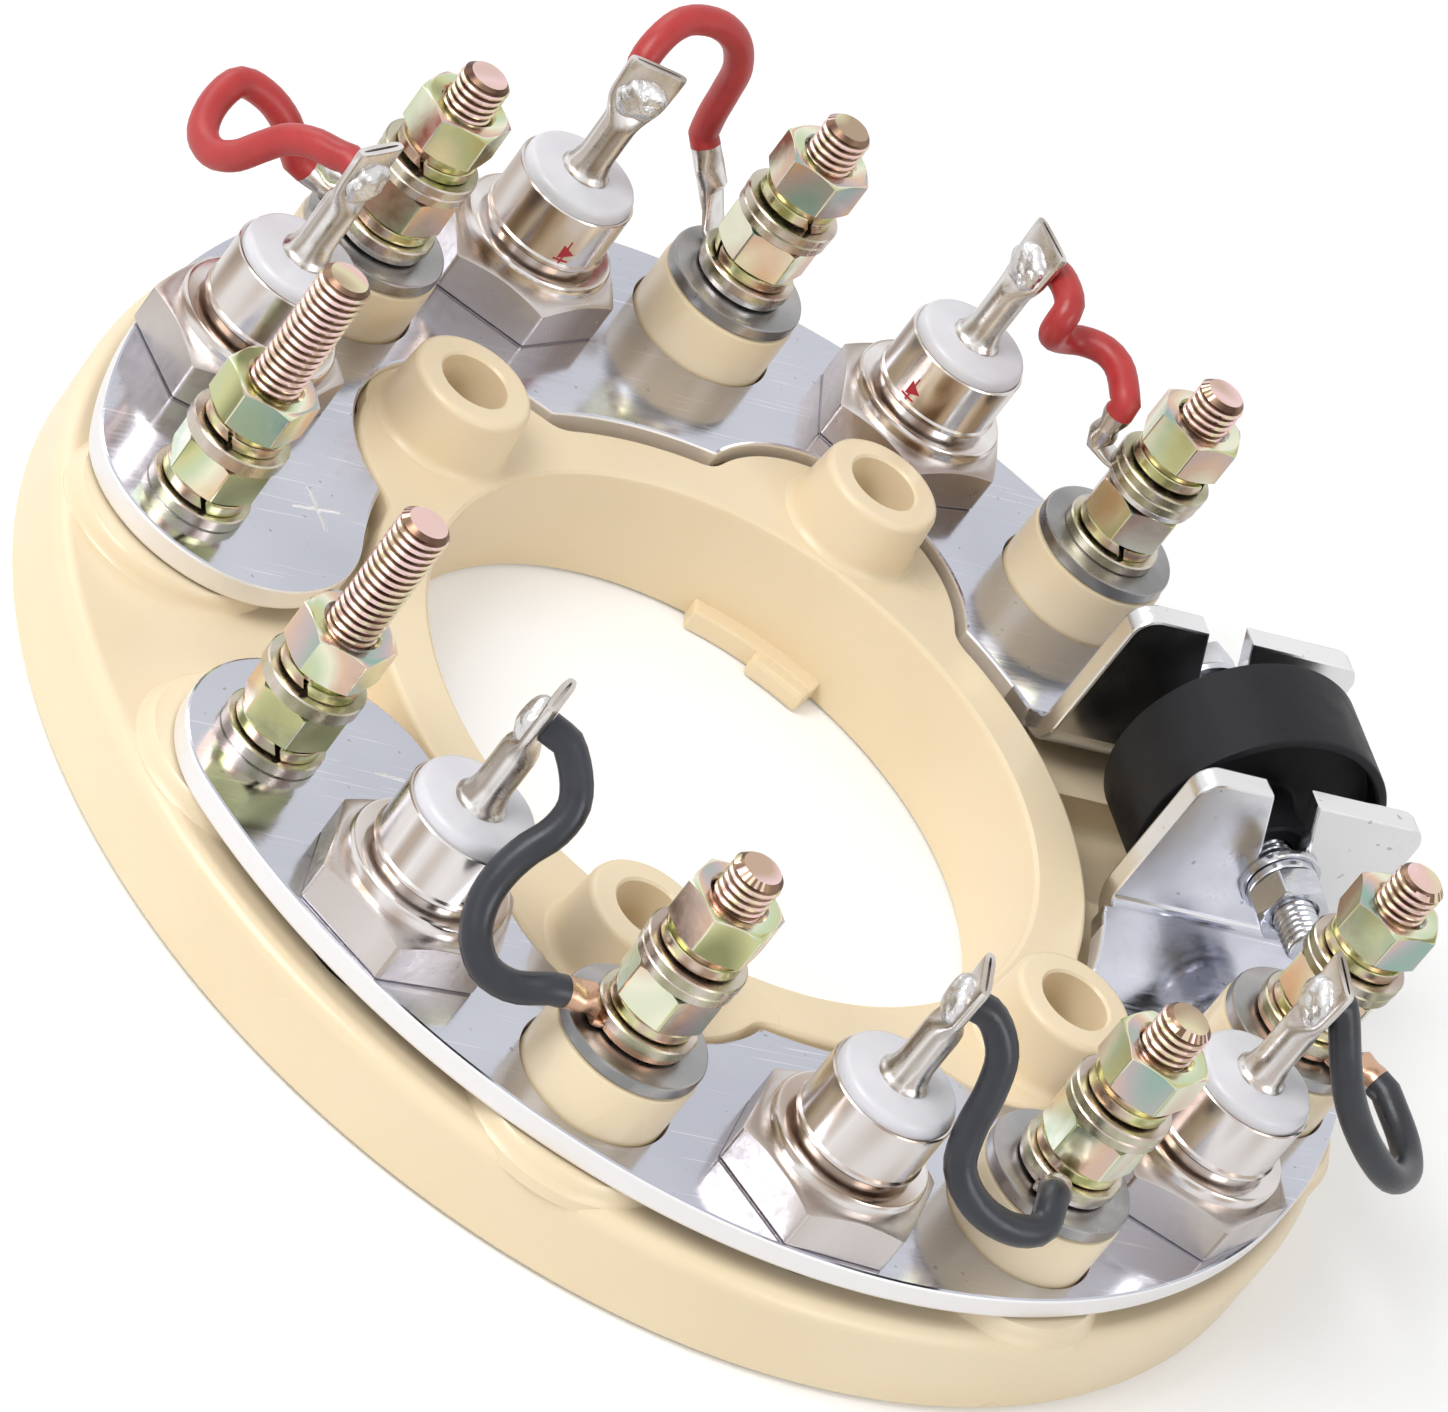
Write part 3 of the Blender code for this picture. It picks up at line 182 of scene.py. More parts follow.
def threaded(name, radius, low, high, pitch=1.0, depth=0.5, sides=26, tip=0.8):
    # one pitch of the section wound up by a screw, cut square and chamfered at the top
    root, half = radius - depth, pitch * 0.09
    middle = radius - depth * 0.45
    section = [(root, 0), (middle, pitch * 0.21), (radius, pitch * 0.5 - half), (radius, pitch * 0.5 + half),
               (middle, pitch * 0.79), (root, pitch)]
    start = low - 1.5 * pitch
    thread = traced(name, [(r, 0, start + z) for r, z in section])
    letGo()
    bpy.context.view_layer.objects.active = thread
    wind = thread.modifiers.new("wind", "SCREW")
    wind.steps = wind.render_steps = sides
    wind.screw_offset = pitch * mm
    wind.iterations = int((high - start) / pitch) + 2
    bpy.ops.object.modifier_apply(modifier="wind")
    edit(thread)
    bpy.ops.mesh.remove_doubles(threshold=0.000002)
    levels = [z / pitch * sides % 1 for r, z in section]
    clear = max((k / 20 for k in range(20)), key=lambda f: min(abs((f - v + 0.5) % 1 - 0.5) for v in levels))
    for z, away in ((low, -1), (high, 1)):               # cut between two levels of the winding's points
        level = start + (int((z - start) / pitch * sides) + (clear - 1 if away > 0 else clear)) * pitch / sides
        bpy.ops.mesh.select_all(action="SELECT")
        bpy.ops.mesh.bisect(plane_co=(0, 0, level * mm), plane_no=(0, 0, away), clear_outer=True, use_fill=True,
                            threshold=0.0000005)
    settle(thread, 50)
    if tip:
        envelope = turned("envelope", [(radius + 2, low - 1), (radius + 2, high - tip - 2), (radius - tip, high + 0.01)], 48)
        carve(thread, [envelope], "INTERSECT")
    settle(thread, 42)
    coated(thread, finishes["thread"], finishes["paintedRootShade"])
    for face in thread.data.polygons:                    # painted shade: the faces down in the roots take a dark finish that stands in for the shade there
        deep = hypot(face.center.x, face.center.y) < (middle + root) / 2 * mm
        face.material_index = 1 if deep and abs(face.normal.z) < 0.95 else 0
    return thread


def lofted(name, stations, heading=(0, 1, 0), sides=32):
    # a tube pulled through stations: centre, direction, half width, half height, squareness
    tube = turned(name, [(1.0, k) for k in range(len(stations))], sides)
    across = Vector((0, 0, 1)).cross(Vector(heading)) if abs(Vector(heading).z) < 0.5 else Vector((1, 0, 0))
    for vertex in tube.data.vertices:
        centre, along, width, height, square = stations[round(vertex.co.z / mm)]
        along = Vector(along).normalized()
        over = along.cross(across).normalized()
        side = over.cross(along).normalized()
        c, d = vertex.co.x / mm, vertex.co.y / mm
        c = (abs(c) ** square) * (1 if c > 0 else -1)
        d = (abs(d) ** square) * (1 if d > 0 else -1)
        vertex.co = (Vector(centre) + side * (c * width) + over * (d * height)) * mm
    return settle(tube, 50)


def smoothRoute(points, step):
    # even points on a round curve through the route's points
    points = [Vector(p) for p in points]
    ends = [points[0] * 2 - points[1], *points, points[-1] * 2 - points[-2]]
    fine = []
    for p0, p1, p2, p3 in zip(ends, ends[1:], ends[2:], ends[3:]):
        t1 = (p1 - p0).length ** 0.5
        t2 = t1 + (p2 - p1).length ** 0.5
        t3 = t2 + (p3 - p2).length ** 0.5
        for k in range(12):
            t = t1 + (t2 - t1) * k / 12
            a1, a2, a3 = p0.lerp(p1, t / t1), p1.lerp(p2, (t - t1) / (t2 - t1)), p2.lerp(p3, (t - t2) / (t3 - t2))
            fine.append(a1.lerp(a2, t / t2).lerp(a2.lerp(a3, (t - t1) / (t3 - t1)), (t - t1) / (t2 - t1)))
    fine.append(points[-1])
    lengths = [0.0]
    for a, b in zip(fine, fine[1:]):
        lengths.append(lengths[-1] + (b - a).length)
    count = max(4, round(lengths[-1] / step))
    even, k = [], 0
    for i in range(count + 1):
        target = lengths[-1] * i / count
        while k < len(lengths) - 2 and lengths[k + 1] < target:
            k += 1
        even.append(fine[k].lerp(fine[k + 1], (target - lengths[k]) / (lengths[k + 1] - lengths[k])))
    return even


def at(radius, angle):
    return radius * cos(radians(angle)), radius * sin(radians(angle))


def coated(piece, *finishes):
    piece.data.materials.clear()
    for finish in finishes:
        piece.data.materials.append(finish)
    return piece


def given(piece, nodes, slotName, *finishes):
    # hand the piece to the frame, with its finishes
    if finishes:
        coated(piece, *finishes)
    if piece.type == "MESH" and slotName != "plate_aluminium":      # large faces keep their own flat shading
        pick(piece)
        even = piece.modifiers.new("even", "WEIGHTED_NORMAL")
        even.keep_sharp = True
        bpy.ops.object.modifier_apply(modifier="even")
    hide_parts(*nodes)
    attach(piece, "root")
    return piece


# stations, in mm and degrees

stations = {"acCircle": 70.15, "acAngles": [121.7, 77.2, 32.7, -121.7, -77.2, -32.7],
            "dcCircle": 68.85, "dcAngles": [164.6, -164.6],
            "diodeCircle": 69.8, "diodeAngles": [144.2, 99.5, 54.8, -144.2, -99.5, -54.8],
            "bossCircle": 48.9, "bossAngles": [54.7, 125.3, -125.3, -54.7]}
acPlaces = [at(stations["acCircle"], a) for a in stations["acAngles"]]
dcPlaces = [at(stations["dcCircle"], a) for a in stations["dcAngles"]]
diodePlaces = [at(stations["diodeCircle"], a) for a in stations["diodeAngles"]]
bossPlaces = [at(stations["bossCircle"], a) for a in stations["bossAngles"]]


# finishes

def shaderOf(name, colour, roughness, metallic=0.0):
    finish = bpy.data.materials.new(name)
    finish.use_nodes = True
    shader = finish.node_tree.nodes["Principled BSDF"]
    shader.inputs["Base Color"].default_value = (*colour, 1)
    shader.inputs["Roughness"].default_value = roughness
    shader.inputs["Metallic"].default_value = metallic
    return finish, finish.node_tree, shader


def speckle(tree, scale, detail=3.0, stretch=(1, 1, 1), roughness=0.55, distortion=0.0):
    place = tree.nodes.new("ShaderNodeTexCoord")
    spread = tree.nodes.new("ShaderNodeMapping")
    spread.inputs["Scale"].default_value = stretch
    noise = tree.nodes.new("ShaderNodeTexNoise")
    noise.inputs["Scale"].default_value = scale
    noise.inputs["Detail"].default_value = detail
    noise.inputs["Roughness"].default_value = roughness
    noise.inputs["Distortion"].default_value = distortion
    tree.links.new(place.outputs["Object"], spread.inputs["Vector"])
    tree.links.new(spread.outputs["Vector"], noise.inputs["Vector"])
    return noise


def ramp(tree, source, stops):
    mix = tree.nodes.new("ShaderNodeValToRGB")
    while len(mix.color_ramp.elements) < len(stops):
        mix.color_ramp.elements.new(0.5)
    for element, (place, colour) in zip(mix.color_ramp.elements, stops):
        element.position = place
        element.color = (*colour, 1)
    tree.links.new(source, mix.inputs["Fac"])
    return mix.outputs["Color"]


def levels(tree, source, low, high, fromLow=0.3, fromHigh=0.7):
    change = tree.nodes.new("ShaderNodeMapRange")
    change.inputs["From Min"].default_value = fromLow
    change.inputs["From Max"].default_value = fromHigh
    change.inputs["To Min"].default_value = low
    change.inputs["To Max"].default_value = high
    tree.links.new(source, change.inputs["Value"])
    return change.outputs["Result"]


def bumped(tree, shader, source, height, strength=1.0):
    bump = tree.nodes.new("ShaderNodeBump")
    bump.inputs["Distance"].default_value = height * mm
    bump.inputs["Strength"].default_value = strength
    tree.links.new(source, bump.inputs["Height"])
    tree.links.new(bump.outputs["Normal"], shader.inputs["Normal"])


def mathNode(tree, operation, first, second):
    node = tree.nodes.new("ShaderNodeMath")
    node.operation = operation
    for socket, value in zip(node.inputs, (first, second)):
        if isinstance(value, (int, float)):
            socket.default_value = value
        else:
            tree.links.new(value, socket)
    return node.outputs["Value"]


def filmAndPaintedReflectionTone(tree, stops, spread=1.5, drift=60.0, detail=1.0, start=0.0):
    # painted reflection: a tone for each way that the surface faces, drifting with its place, stands in for the
    # studio's reflections on bright metal; on chromated parts the stops also hold the film's own colours
    place = tree.nodes.new("ShaderNodeTexCoord")
    vectors = []
    for source, amount in (("Normal", (spread, spread, spread)), ("Object", (drift, drift, drift * 0.5))):
        scaled = tree.nodes.new("ShaderNodeVectorMath")
        scaled.operation = "MULTIPLY"
        scaled.inputs[1].default_value = amount
        tree.links.new(place.outputs[source], scaled.inputs[0])
        vectors.append(scaled.outputs["Vector"])
    total = tree.nodes.new("ShaderNodeVectorMath")
    total.operation = "ADD"
    tree.links.new(vectors[0], total.inputs[0])
    tree.links.new(vectors[1], total.inputs[1])
    shifted = tree.nodes.new("ShaderNodeMapping")
    shifted.inputs["Location"].default_value = (start, start * 0.7, start * 1.3)
    tree.links.new(total.outputs["Vector"], shifted.inputs["Vector"])
    noise = tree.nodes.new("ShaderNodeTexNoise")
    noise.inputs["Scale"].default_value = 1.0
    noise.inputs["Detail"].default_value = detail
    tree.links.new(shifted.outputs["Vector"], noise.inputs["Vector"])
    return ramp(tree, noise.outputs["Fac"], stops)


def filmAndPaintedReflectionMetal(name, stops, roughness, spread=1.5, drift=60.0, start=0.0, bump=0.015, grainScale=600):
    # the base colour is the painted reflection tone, with the chromate film's colours where the stops hold them
    finish, tree, shader = shaderOf(name, stops[0][1], roughness, 1.0)
    tree.links.new(filmAndPaintedReflectionTone(tree, stops, spread, drift, 1.0, start), shader.inputs["Base Color"])
    grain = speckle(tree, grainScale, 3.0)
    tree.links.new(levels(tree, grain.outputs["Fac"], roughness * 0.75, roughness * 1.3), shader.inputs["Roughness"])
    bumped(tree, shader, grain.outputs["Fac"], bump)
    return finish


def creamMoulding():
    finish, tree, shader = shaderOf("creamMoulding", (0.84, 0.69, 0.46), 0.34)
    cloud = speckle(tree, 40, 2.0)
    tone = ramp(tree, cloud.outputs["Fac"], [(0.30, (0.835, 0.69, 0.465)), (0.70, (0.865, 0.725, 0.51))])
    tree.links.new(tone, shader.inputs["Base Color"])
    shader.inputs["Subsurface Weight"].default_value = 0.15
    shader.inputs["Subsurface Radius"].default_value = (1.0, 0.6, 0.3)
    shader.inputs["Subsurface Scale"].default_value = 0.002
    tree.links.new(levels(tree, cloud.outputs["Fac"], 0.26, 0.34), shader.inputs["Roughness"])
    bumped(tree, shader, speckle(tree, 1500, 2.0).outputs["Fac"], 0.006)
    return finish


def brightSheet(name, dark, light, smooth, rough):
    finish, tree, shader = shaderOf(name, light, smooth, 1.0)
    rolled = speckle(tree, 160, 4.0, (1, 14, 1))
    tree.links.new(levels(tree, rolled.outputs["Fac"], smooth, rough), shader.inputs["Roughness"])
    cloud = ramp(tree, speckle(tree, 30, 2.0).outputs["Fac"], [(0.35, dark), (0.65, light)])
    # hair scratches lie across the rolling, with a few pits
    mix = tree.nodes.new("ShaderNodeMix")
    mix.data_type = "RGBA"
    hair = speckle(tree, 60, 2.0, (1, 40, 1), distortion=0.4)
    tree.links.new(levels(tree, hair.outputs["Fac"], 0.0, 0.55, 0.64, 0.70), mix.inputs["Factor"])
    tree.links.new(cloud, mix.inputs["A"])
    mix.inputs["B"].default_value = (0.80, 0.80, 0.84, 1)
    dots = speckle(tree, 1100, 0.0)
    pits = tree.nodes.new("ShaderNodeMix")
    pits.data_type = "RGBA"
    tree.links.new(levels(tree, dots.outputs["Fac"], 0.0, 0.45, 0.80, 0.84), pits.inputs["Factor"])
    tree.links.new(mix.outputs["Result"], pits.inputs["A"])
    pits.inputs["B"].default_value = (0.20, 0.19, 0.19, 1)
    tree.links.new(pits.outputs["Result"], shader.inputs["Base Color"])
    bumped(tree, shader, speckle(tree, 90, 2.0).outputs["Fac"], 0.02)
    return finish


def shearedEdge():
    finish, tree, shader = shaderOf("shearedEdge", (0.88, 0.87, 0.88), 0.46, 0.85)
    bumped(tree, shader, speckle(tree, 500, 3.0, (1, 1, 0.15)).outputs["Fac"], 0.03)
    return finish


# stops of the painted reflection tone, dark to bright as the surface turns; the nut, washer, spring and thread stops
# are also the chromate film's colours
filmAndPaintedReflectionStops = {
    "nut": [(0.30, (0.27, 0.28, 0.13)), (0.37, (0.60, 0.60, 0.31)), (0.44, (0.58, 0.68, 0.47)),
            (0.50, (0.84, 0.83, 0.66)), (0.56, (0.74, 0.52, 0.38)), (0.62, (0.56, 0.47, 0.47)), (0.70, (0.32, 0.46, 0.40))],
    "washer": [(0.34, (0.30, 0.28, 0.18)), (0.44, (0.50, 0.48, 0.35)), (0.54, (0.64, 0.57, 0.50)),
               (0.62, (0.46, 0.37, 0.32))],
    "spring": [(0.34, (0.36, 0.37, 0.16)), (0.46, (0.70, 0.70, 0.40)), (0.56, (0.62, 0.50, 0.40)),
               (0.64, (0.40, 0.28, 0.20))],
    "thread": [(0.34, (0.44, 0.32, 0.22)), (0.42, (0.74, 0.68, 0.44)), (0.50, (0.80, 0.56, 0.50)),
               (0.58, (0.86, 0.62, 0.62)), (0.66, (0.56, 0.40, 0.30))],
    "nickel": [(0.33, (0.30, 0.22, 0.17)), (0.41, (0.52, 0.43, 0.37)), (0.49, (0.72, 0.68, 0.66)),
               (0.57, (0.80, 0.77, 0.76)), (0.66, (0.46, 0.38, 0.32))],
    "hexagon": [(0.36, (0.36, 0.30, 0.26)), (0.46, (0.54, 0.49, 0.46)), (0.56, (0.67, 0.63, 0.62)), (0.66, (0.47, 0.41, 0.37))],
    "tin": [(0.34, (0.36, 0.31, 0.27)), (0.45, (0.58, 0.54, 0.50)), (0.55, (0.78, 0.76, 0.75)), (0.66, (0.54, 0.48, 0.44))],
    "disc": [(0.34, (0.26, 0.26, 0.26)), (0.46, (0.35, 0.35, 0.35)), (0.56, (0.44, 0.42, 0.42)), (0.66, (0.30, 0.26, 0.23))]}


def plainMetal(name, colour, roughness, bump=0.02, scale=450):
    finish, tree, shader = shaderOf(name, colour, roughness, 1.0)
    grain = speckle(tree, scale, 3.0)
    tone = ramp(tree, grain.outputs["Fac"], [(0.3, tuple(c * 0.88 for c in colour)), (0.7, colour)])
    tree.links.new(tone, shader.inputs["Base Color"])
    tree.links.new(levels(tree, grain.outputs["Fac"], roughness * 0.75, roughness * 1.3),
                   shader.inputs["Roughness"])
    bumped(tree, shader, grain.outputs["Fac"], bump)
    return finish


def glazedWhite():
    finish, tree, shader = shaderOf("whiteInsulator", (0.70, 0.695, 0.73), 0.30)
    cloud = speckle(tree, 260, 3.0)
    tone = ramp(tree, cloud.outputs["Fac"], [(0.3, (0.68, 0.675, 0.715)), (0.7, (0.72, 0.715, 0.75))])
    tree.links.new(tone, shader.inputs["Base Color"])
    shader.inputs["Subsurface Weight"].default_value = 0.1
    shader.inputs["Subsurface Scale"].default_value = 0.001
    bumped(tree, shader, cloud.outputs["Fac"], 0.03)
    return finish


def insulation(name, dark, light, roughness, specular=0.5):
    finish, tree, shader = shaderOf(name, light, roughness)
    shader.inputs["Specular IOR Level"].default_value = specular
    cloud = speckle(tree, 220, 3.0)
    tree.links.new(ramp(tree, cloud.outputs["Fac"], [(0.3, dark), (0.7, light)]),
                   shader.inputs["Base Color"])
    tree.links.new(levels(tree, cloud.outputs["Fac"], roughness * 0.8, roughness * 1.2),
                   shader.inputs["Roughness"])
    bumped(tree, shader, speckle(tree, 900, 3.0).outputs["Fac"], 0.03)
    return finish


finishes = {
    "cream": creamMoulding(), "sheetEdge": shearedEdge(),
    "sheet": brightSheet("brightSheet", (0.50, 0.51, 0.58), (0.59, 0.60, 0.665), 0.09, 0.19),
    "flap": brightSheet("satinFlap", (0.74, 0.74, 0.75), (0.83, 0.83, 0.84), 0.17, 0.28),
    # the chromated, nickel and tinned metals carry painted reflections in their base colour, and the thread roots
    # carry painted shade
    "nut": filmAndPaintedReflectionMetal("chromatedNut", filmAndPaintedReflectionStops["nut"], 0.20, 1.3, 70),
    "washer": filmAndPaintedReflectionMetal("chromatedWasher", filmAndPaintedReflectionStops["washer"], 0.26, 0.8, 90, 3.0),
    "spring": filmAndPaintedReflectionMetal("springWasher", filmAndPaintedReflectionStops["spring"], 0.22, 0.9, 90, 7.0),
    "thread": filmAndPaintedReflectionMetal("studThread", filmAndPaintedReflectionStops["thread"], 0.24, 0.9, 80, 5.0),
    "paintedRootShade": filmAndPaintedReflectionMetal("paintedRootShade", [(0.4, (0.10, 0.055, 0.040)), (0.6, (0.24, 0.15, 0.10))], 0.35, 1.0, 80),
    "nickel": filmAndPaintedReflectionMetal("warmNickelWithPaintedReflections", filmAndPaintedReflectionStops["nickel"], 0.19, 1.1, 30, 2.0, 0.004, 420),
    "hexagon": filmAndPaintedReflectionMetal("blastedNickel", filmAndPaintedReflectionStops["hexagon"], 0.36, 1.0, 30, 1.0, 0.03, 900),
    "disc": filmAndPaintedReflectionMetal("tinnedDisc", filmAndPaintedReflectionStops["disc"], 0.34, 1.0, 60, 9.0, 0.006, 500),
    "insulator": glazedWhite(),
    "print": insulation("redPrint", (0.40, 0.012, 0.03), (0.50, 0.02, 0.045), 0.5),
    "darkPrint": insulation("greenPrint", (0.010, 0.035, 0.035), (0.02, 0.06, 0.055), 0.5),
    "tin": filmAndPaintedReflectionMetal("tinnedTube", filmAndPaintedReflectionStops["tin"], 0.29, 1.2, 90, 4.0, 0.02, 600),
    "solder": plainMetal("brightSolder", (0.74, 0.73, 0.73), 0.27, 0.30, 700),
    "lug": filmAndPaintedReflectionMetal("tinnedLug", filmAndPaintedReflectionStops["tin"], 0.26, 1.1, 150, 6.0, 0.05, 420),
    "copper": plainMetal("copperCrimp", (0.66, 0.42, 0.29), 0.28, 0.05),
    "brightZinc": plainMetal("brightZinc", (0.64, 0.65, 0.69), 0.18),
    "red": insulation("redInsulation", (0.40, 0.026, 0.026), (0.48, 0.036, 0.036), 0.38),
    "black": insulation("blackInsulation", (0.018, 0.019, 0.026), (0.027, 0.029, 0.039), 0.32),
    "epoxy": insulation("blackCoating", (0.008, 0.008, 0.010), (0.014, 0.014, 0.017), 0.50, 0.22),
}
print("finishes ready")


# moulded ring

ringSizes = {"radius": 83.0, "bore": 39.2, "floor": 11.2, "rim": 2.0, "hub": 46.3, "hubTop": 15.8,
             "lobe": 17.3, "lobeCentre": 40.0, "lobeFillet": 4.0, "bossTop": 23.7, "bossRadius": 7.4,
             "bossHole": 4.2, "pillar": 8.9, "pillarTop": 23.4, "land": 12.5, "landTop": 13.1,
             "pocket": 8.6, "keyInner": 34.6, "keyTop": 2.6, "keyStep": 0.2, "keyAngles": (43.5, 56.0, 69.5)}


def hubReach(angle):
    # how far the hub reaches at an angle: round hub, four lobes, hollow corners between
    s = ringSizes
    away = min(abs((angle - a + 180) % 360 - 180) for a in stations["bossAngles"])
    c, lobe, fillet = s["lobeCentre"], s["lobe"], s["lobeFillet"]
    far = s["hub"] + fillet
    turnTo = degrees(acos((far ** 2 + c ** 2 - (lobe + fillet) ** 2) / (2 * far * c)))
    if away >= turnTo:
        return s["hub"]
    fx, fy = at(far, turnTo)
    tx, ty = c + (fx - c) * lobe / (lobe + fillet), fy * lobe / (lobe + fillet)
    if away <= degrees(atan2(ty, tx)):
        return c * cos(radians(away)) + sqrt(lobe ** 2 - (c * sin(radians(away))) ** 2)
    swing = radians(turnTo - away)
    return far * cos(swing) - sqrt(max(0.0, fillet ** 2 - (far * sin(swing)) ** 2))


def lobedHub():
    s = ringSizes
    letGo()
    bpy.ops.mesh.primitive_circle_add(vertices=480, radius=mm, fill_type="NGON",
                                      location=(0, 0, (s["floor"] - 1.5) * mm))
    hub = bpy.context.object
    hub.name = "hub"
    bake(hub)
    for vertex in hub.data.vertices:
        reach = hubReach(degrees(atan2(vertex.co.y, vertex.co.x)))
        vertex.co.x *= reach
        vertex.co.y *= reach
    edit(hub)
    low = s["floor"] - 1.5
    for z, inset in ((s["hubTop"] - 0.8, 0.0), (s["hubTop"] - 0.4, 0.1), (s["hubTop"] - 0.12, 0.38),
                     (s["hubTop"], 0.8)):
        bpy.ops.mesh.extrude_region_move(TRANSFORM_OT_translate={"value": (0, 0, (z - low) * mm)})
        low = z
        if inset:
            share = 1 - (inset - (0.1 if inset == 0.38 else 0.38 if inset == 0.8 else 0)) / 50
            bpy.ops.transform.resize(value=(share, share, 1), center_override=(0, 0, z * mm))
    return settle(hub)


def drivingKey():
    # stepped key at the foot of the bore: the deep block is spun from its section, the shallow one is cut from a ring
    s = ringSizes
    start, middle, end = s["keyAngles"]
    letGo()
    inner, outer = s["keyInner"], s["bore"] + 1.0
    bpy.ops.mesh.primitive_plane_add(size=1, location=((inner + outer) / 2 * mm, 0, s["keyTop"] / 2 * mm),
                                     rotation=(pi / 2, 0, 0))
    key = bpy.context.object
    key.name = "key"
    key.scale = ((outer - inner) * mm, s["keyTop"] * mm, 1)
    bake(key)
    key.rotation_euler = (0, 0, radians(middle))
    bake(key)
    edit(key)
    bpy.ops.mesh.spin(steps=13, angle=radians(middle - start), center=(0, 0, 0), axis=(0, 0, 1))
    settle(key)
    soften(key, 0.6, 2, 50)
    step = turned("step", [(inner + 2.0, 0.0), (outer, 0.0), (outer, s["keyTop"] + s["keyStep"]),
                           (inner + 2.0, s["keyTop"] + s["keyStep"])], 240, ring=True)
    for angle, side in ((start, 1), (end, -1)):
        edit(step)
        normal = (sin(radians(angle)) * side, -cos(radians(angle)) * side, 0)
        bpy.ops.mesh.bisect(plane_co=(0, 0, 0), plane_no=normal, clear_outer=True, use_fill=True)
        bpy.ops.object.mode_set(mode="OBJECT")
    settle(step)
    soften(step, 0.4, 2, 50)
    return key, step


def mouldedRing():
    s = ringSizes
    top, r, rim = s["floor"], s["radius"], s["rim"]
    rounding = [(r - rim + rim * cos(a), top - rim + rim * sin(a))
                for a in [radians(15 * i) for i in range(7)]]
    ring = turned("mouldedRing", [(s["bore"], 0.4), (s["bore"] + 0.4, 0.0), (r - 0.6, 0.0), (r, 0.6)]
                  + rounding + [(s["bore"], top)], 256, ring=True)
    hub = lobedHub()
    mouth = 0.7
    boreTool = turned("boreTool", [(s["bore"], -2.0), (s["bore"], s["hubTop"] - mouth),
                                   (s["bore"] + 0.2, s["hubTop"] - 0.3), (s["bore"] + mouth, s["hubTop"]),
                                   (s["bore"] + mouth + 1, s["hubTop"] + 1)], 256)
    carve(hub, [boreTool])
    carve(ring, [hub], "UNION")
    foot = 1.6
    bosses = []
    for x, y in bossPlaces:
        flare = [(8.0 + foot * (1 - sin(a)), s["hubTop"] - 0.2 + foot * (1 - cos(a)))
                 for a in [radians(18 * i) for i in range(6)]]
        boss = turned("boss", [(8.0 + foot + 0.2, s["hubTop"] - 2.0)] + flare
                      + [(s["bossRadius"] + 0.05, s["bossTop"] - 0.9), (s["bossRadius"] - 0.15, s["bossTop"] - 0.4),
                         (s["bossRadius"] - 0.5, s["bossTop"] - 0.1), (s["bossRadius"] - 0.9, s["bossTop"])], 72)
        bosses.append(moved(boss, x, y))
    carve(ring, bosses, "UNION")
    raised = []
    for x, y in acPlaces + dcPlaces:
        raised.append(moved(turned("land", [(s["land"] + 0.9, top - 1.5), (s["land"] + 0.9, top - 0.1),
                                            (s["land"] + 0.5, top + 0.2), (s["land"] + 0.2, top + 0.8),
                                            (s["land"], s["landTop"] - 0.4), (s["land"] - 0.4, s["landTop"])],
                                   72), x, y))
    carve(ring, raised, "UNION")
    pillars = []
    for x, y in acPlaces:
        p = s["pillar"]
        pillars.append(moved(turned("pillar", [(p, top - 1.0), (p, s["pillarTop"] - 0.5), (p - 0.15, s["pillarTop"] - 0.15),
                                               (p - 0.5, s["pillarTop"])], 96), x, y))
    carve(ring, pillars, "UNION")
    for piece in drivingKey():
        carve(ring, [piece], "UNION")
    cuts = []
    for x, y in bossPlaces:
        cuts.append(moved(turned("hole", [(s["bossHole"], -1.0), (s["bossHole"], s["bossTop"] - 0.3),
                                          (s["bossHole"] + 0.6, s["bossTop"] + 0.3)], 48), x, y))
    for x, y in diodePlaces:
        cuts.append(rod("pocket", s["pocket"], -1.0, top + 1.0, 64, (x, y)))
    for x, y in dcPlaces:
        cuts.append(turnedHole(x, y))
    for x, y in acPlaces:
        cuts.append(rod("rootBore", 4.3, 12.3, 30.0, 32, (x, y)))
    carve(ring, cuts)
    pocket = block("recess", (48.1, -9.9, 6.0), (80.5, 7.9, top + 1.0))
    soften(pocket, 1.6, 3, 60)
    carve(ring, [pocket])
    settle(ring, 30)
    return given(ring, ["base_ring"], "cream_moulding", finishes["cream"])


def turnedHole(x, y):
    # clearance hole with the pocket for the bolt's head below it
    return moved(turned("headPocket", [(6.5, -1.0), (6.5, 6.0), (3.4, 6.0), (3.4, 14.0)], 48), x, y)


mouldedRing()
print("moulded ring done")


# heat-sink plates

plateSizes = {"outer": 81.0, "inner": 48.1, "low": 13.4, "high": 16.4, "lobe": 18.3, "lobeCentre": 40.0,
              "endAngle": 160.2, "flapFace": 14.2, "flapTop": 36.8, "flapIn": 47.0, "flapOut": 79.2,
              "bend": 1.0, "corner": 3.0, "slotWidth": 5.6, "slotLean": 25.0, "boltX": 65.0, "boltZ": 25.2,
              "pillarHole": 9.25, "diodeHole": 4.3, "studHole": 3.4, "edge": 0.35, "mark": (-50.25, 20.3)}


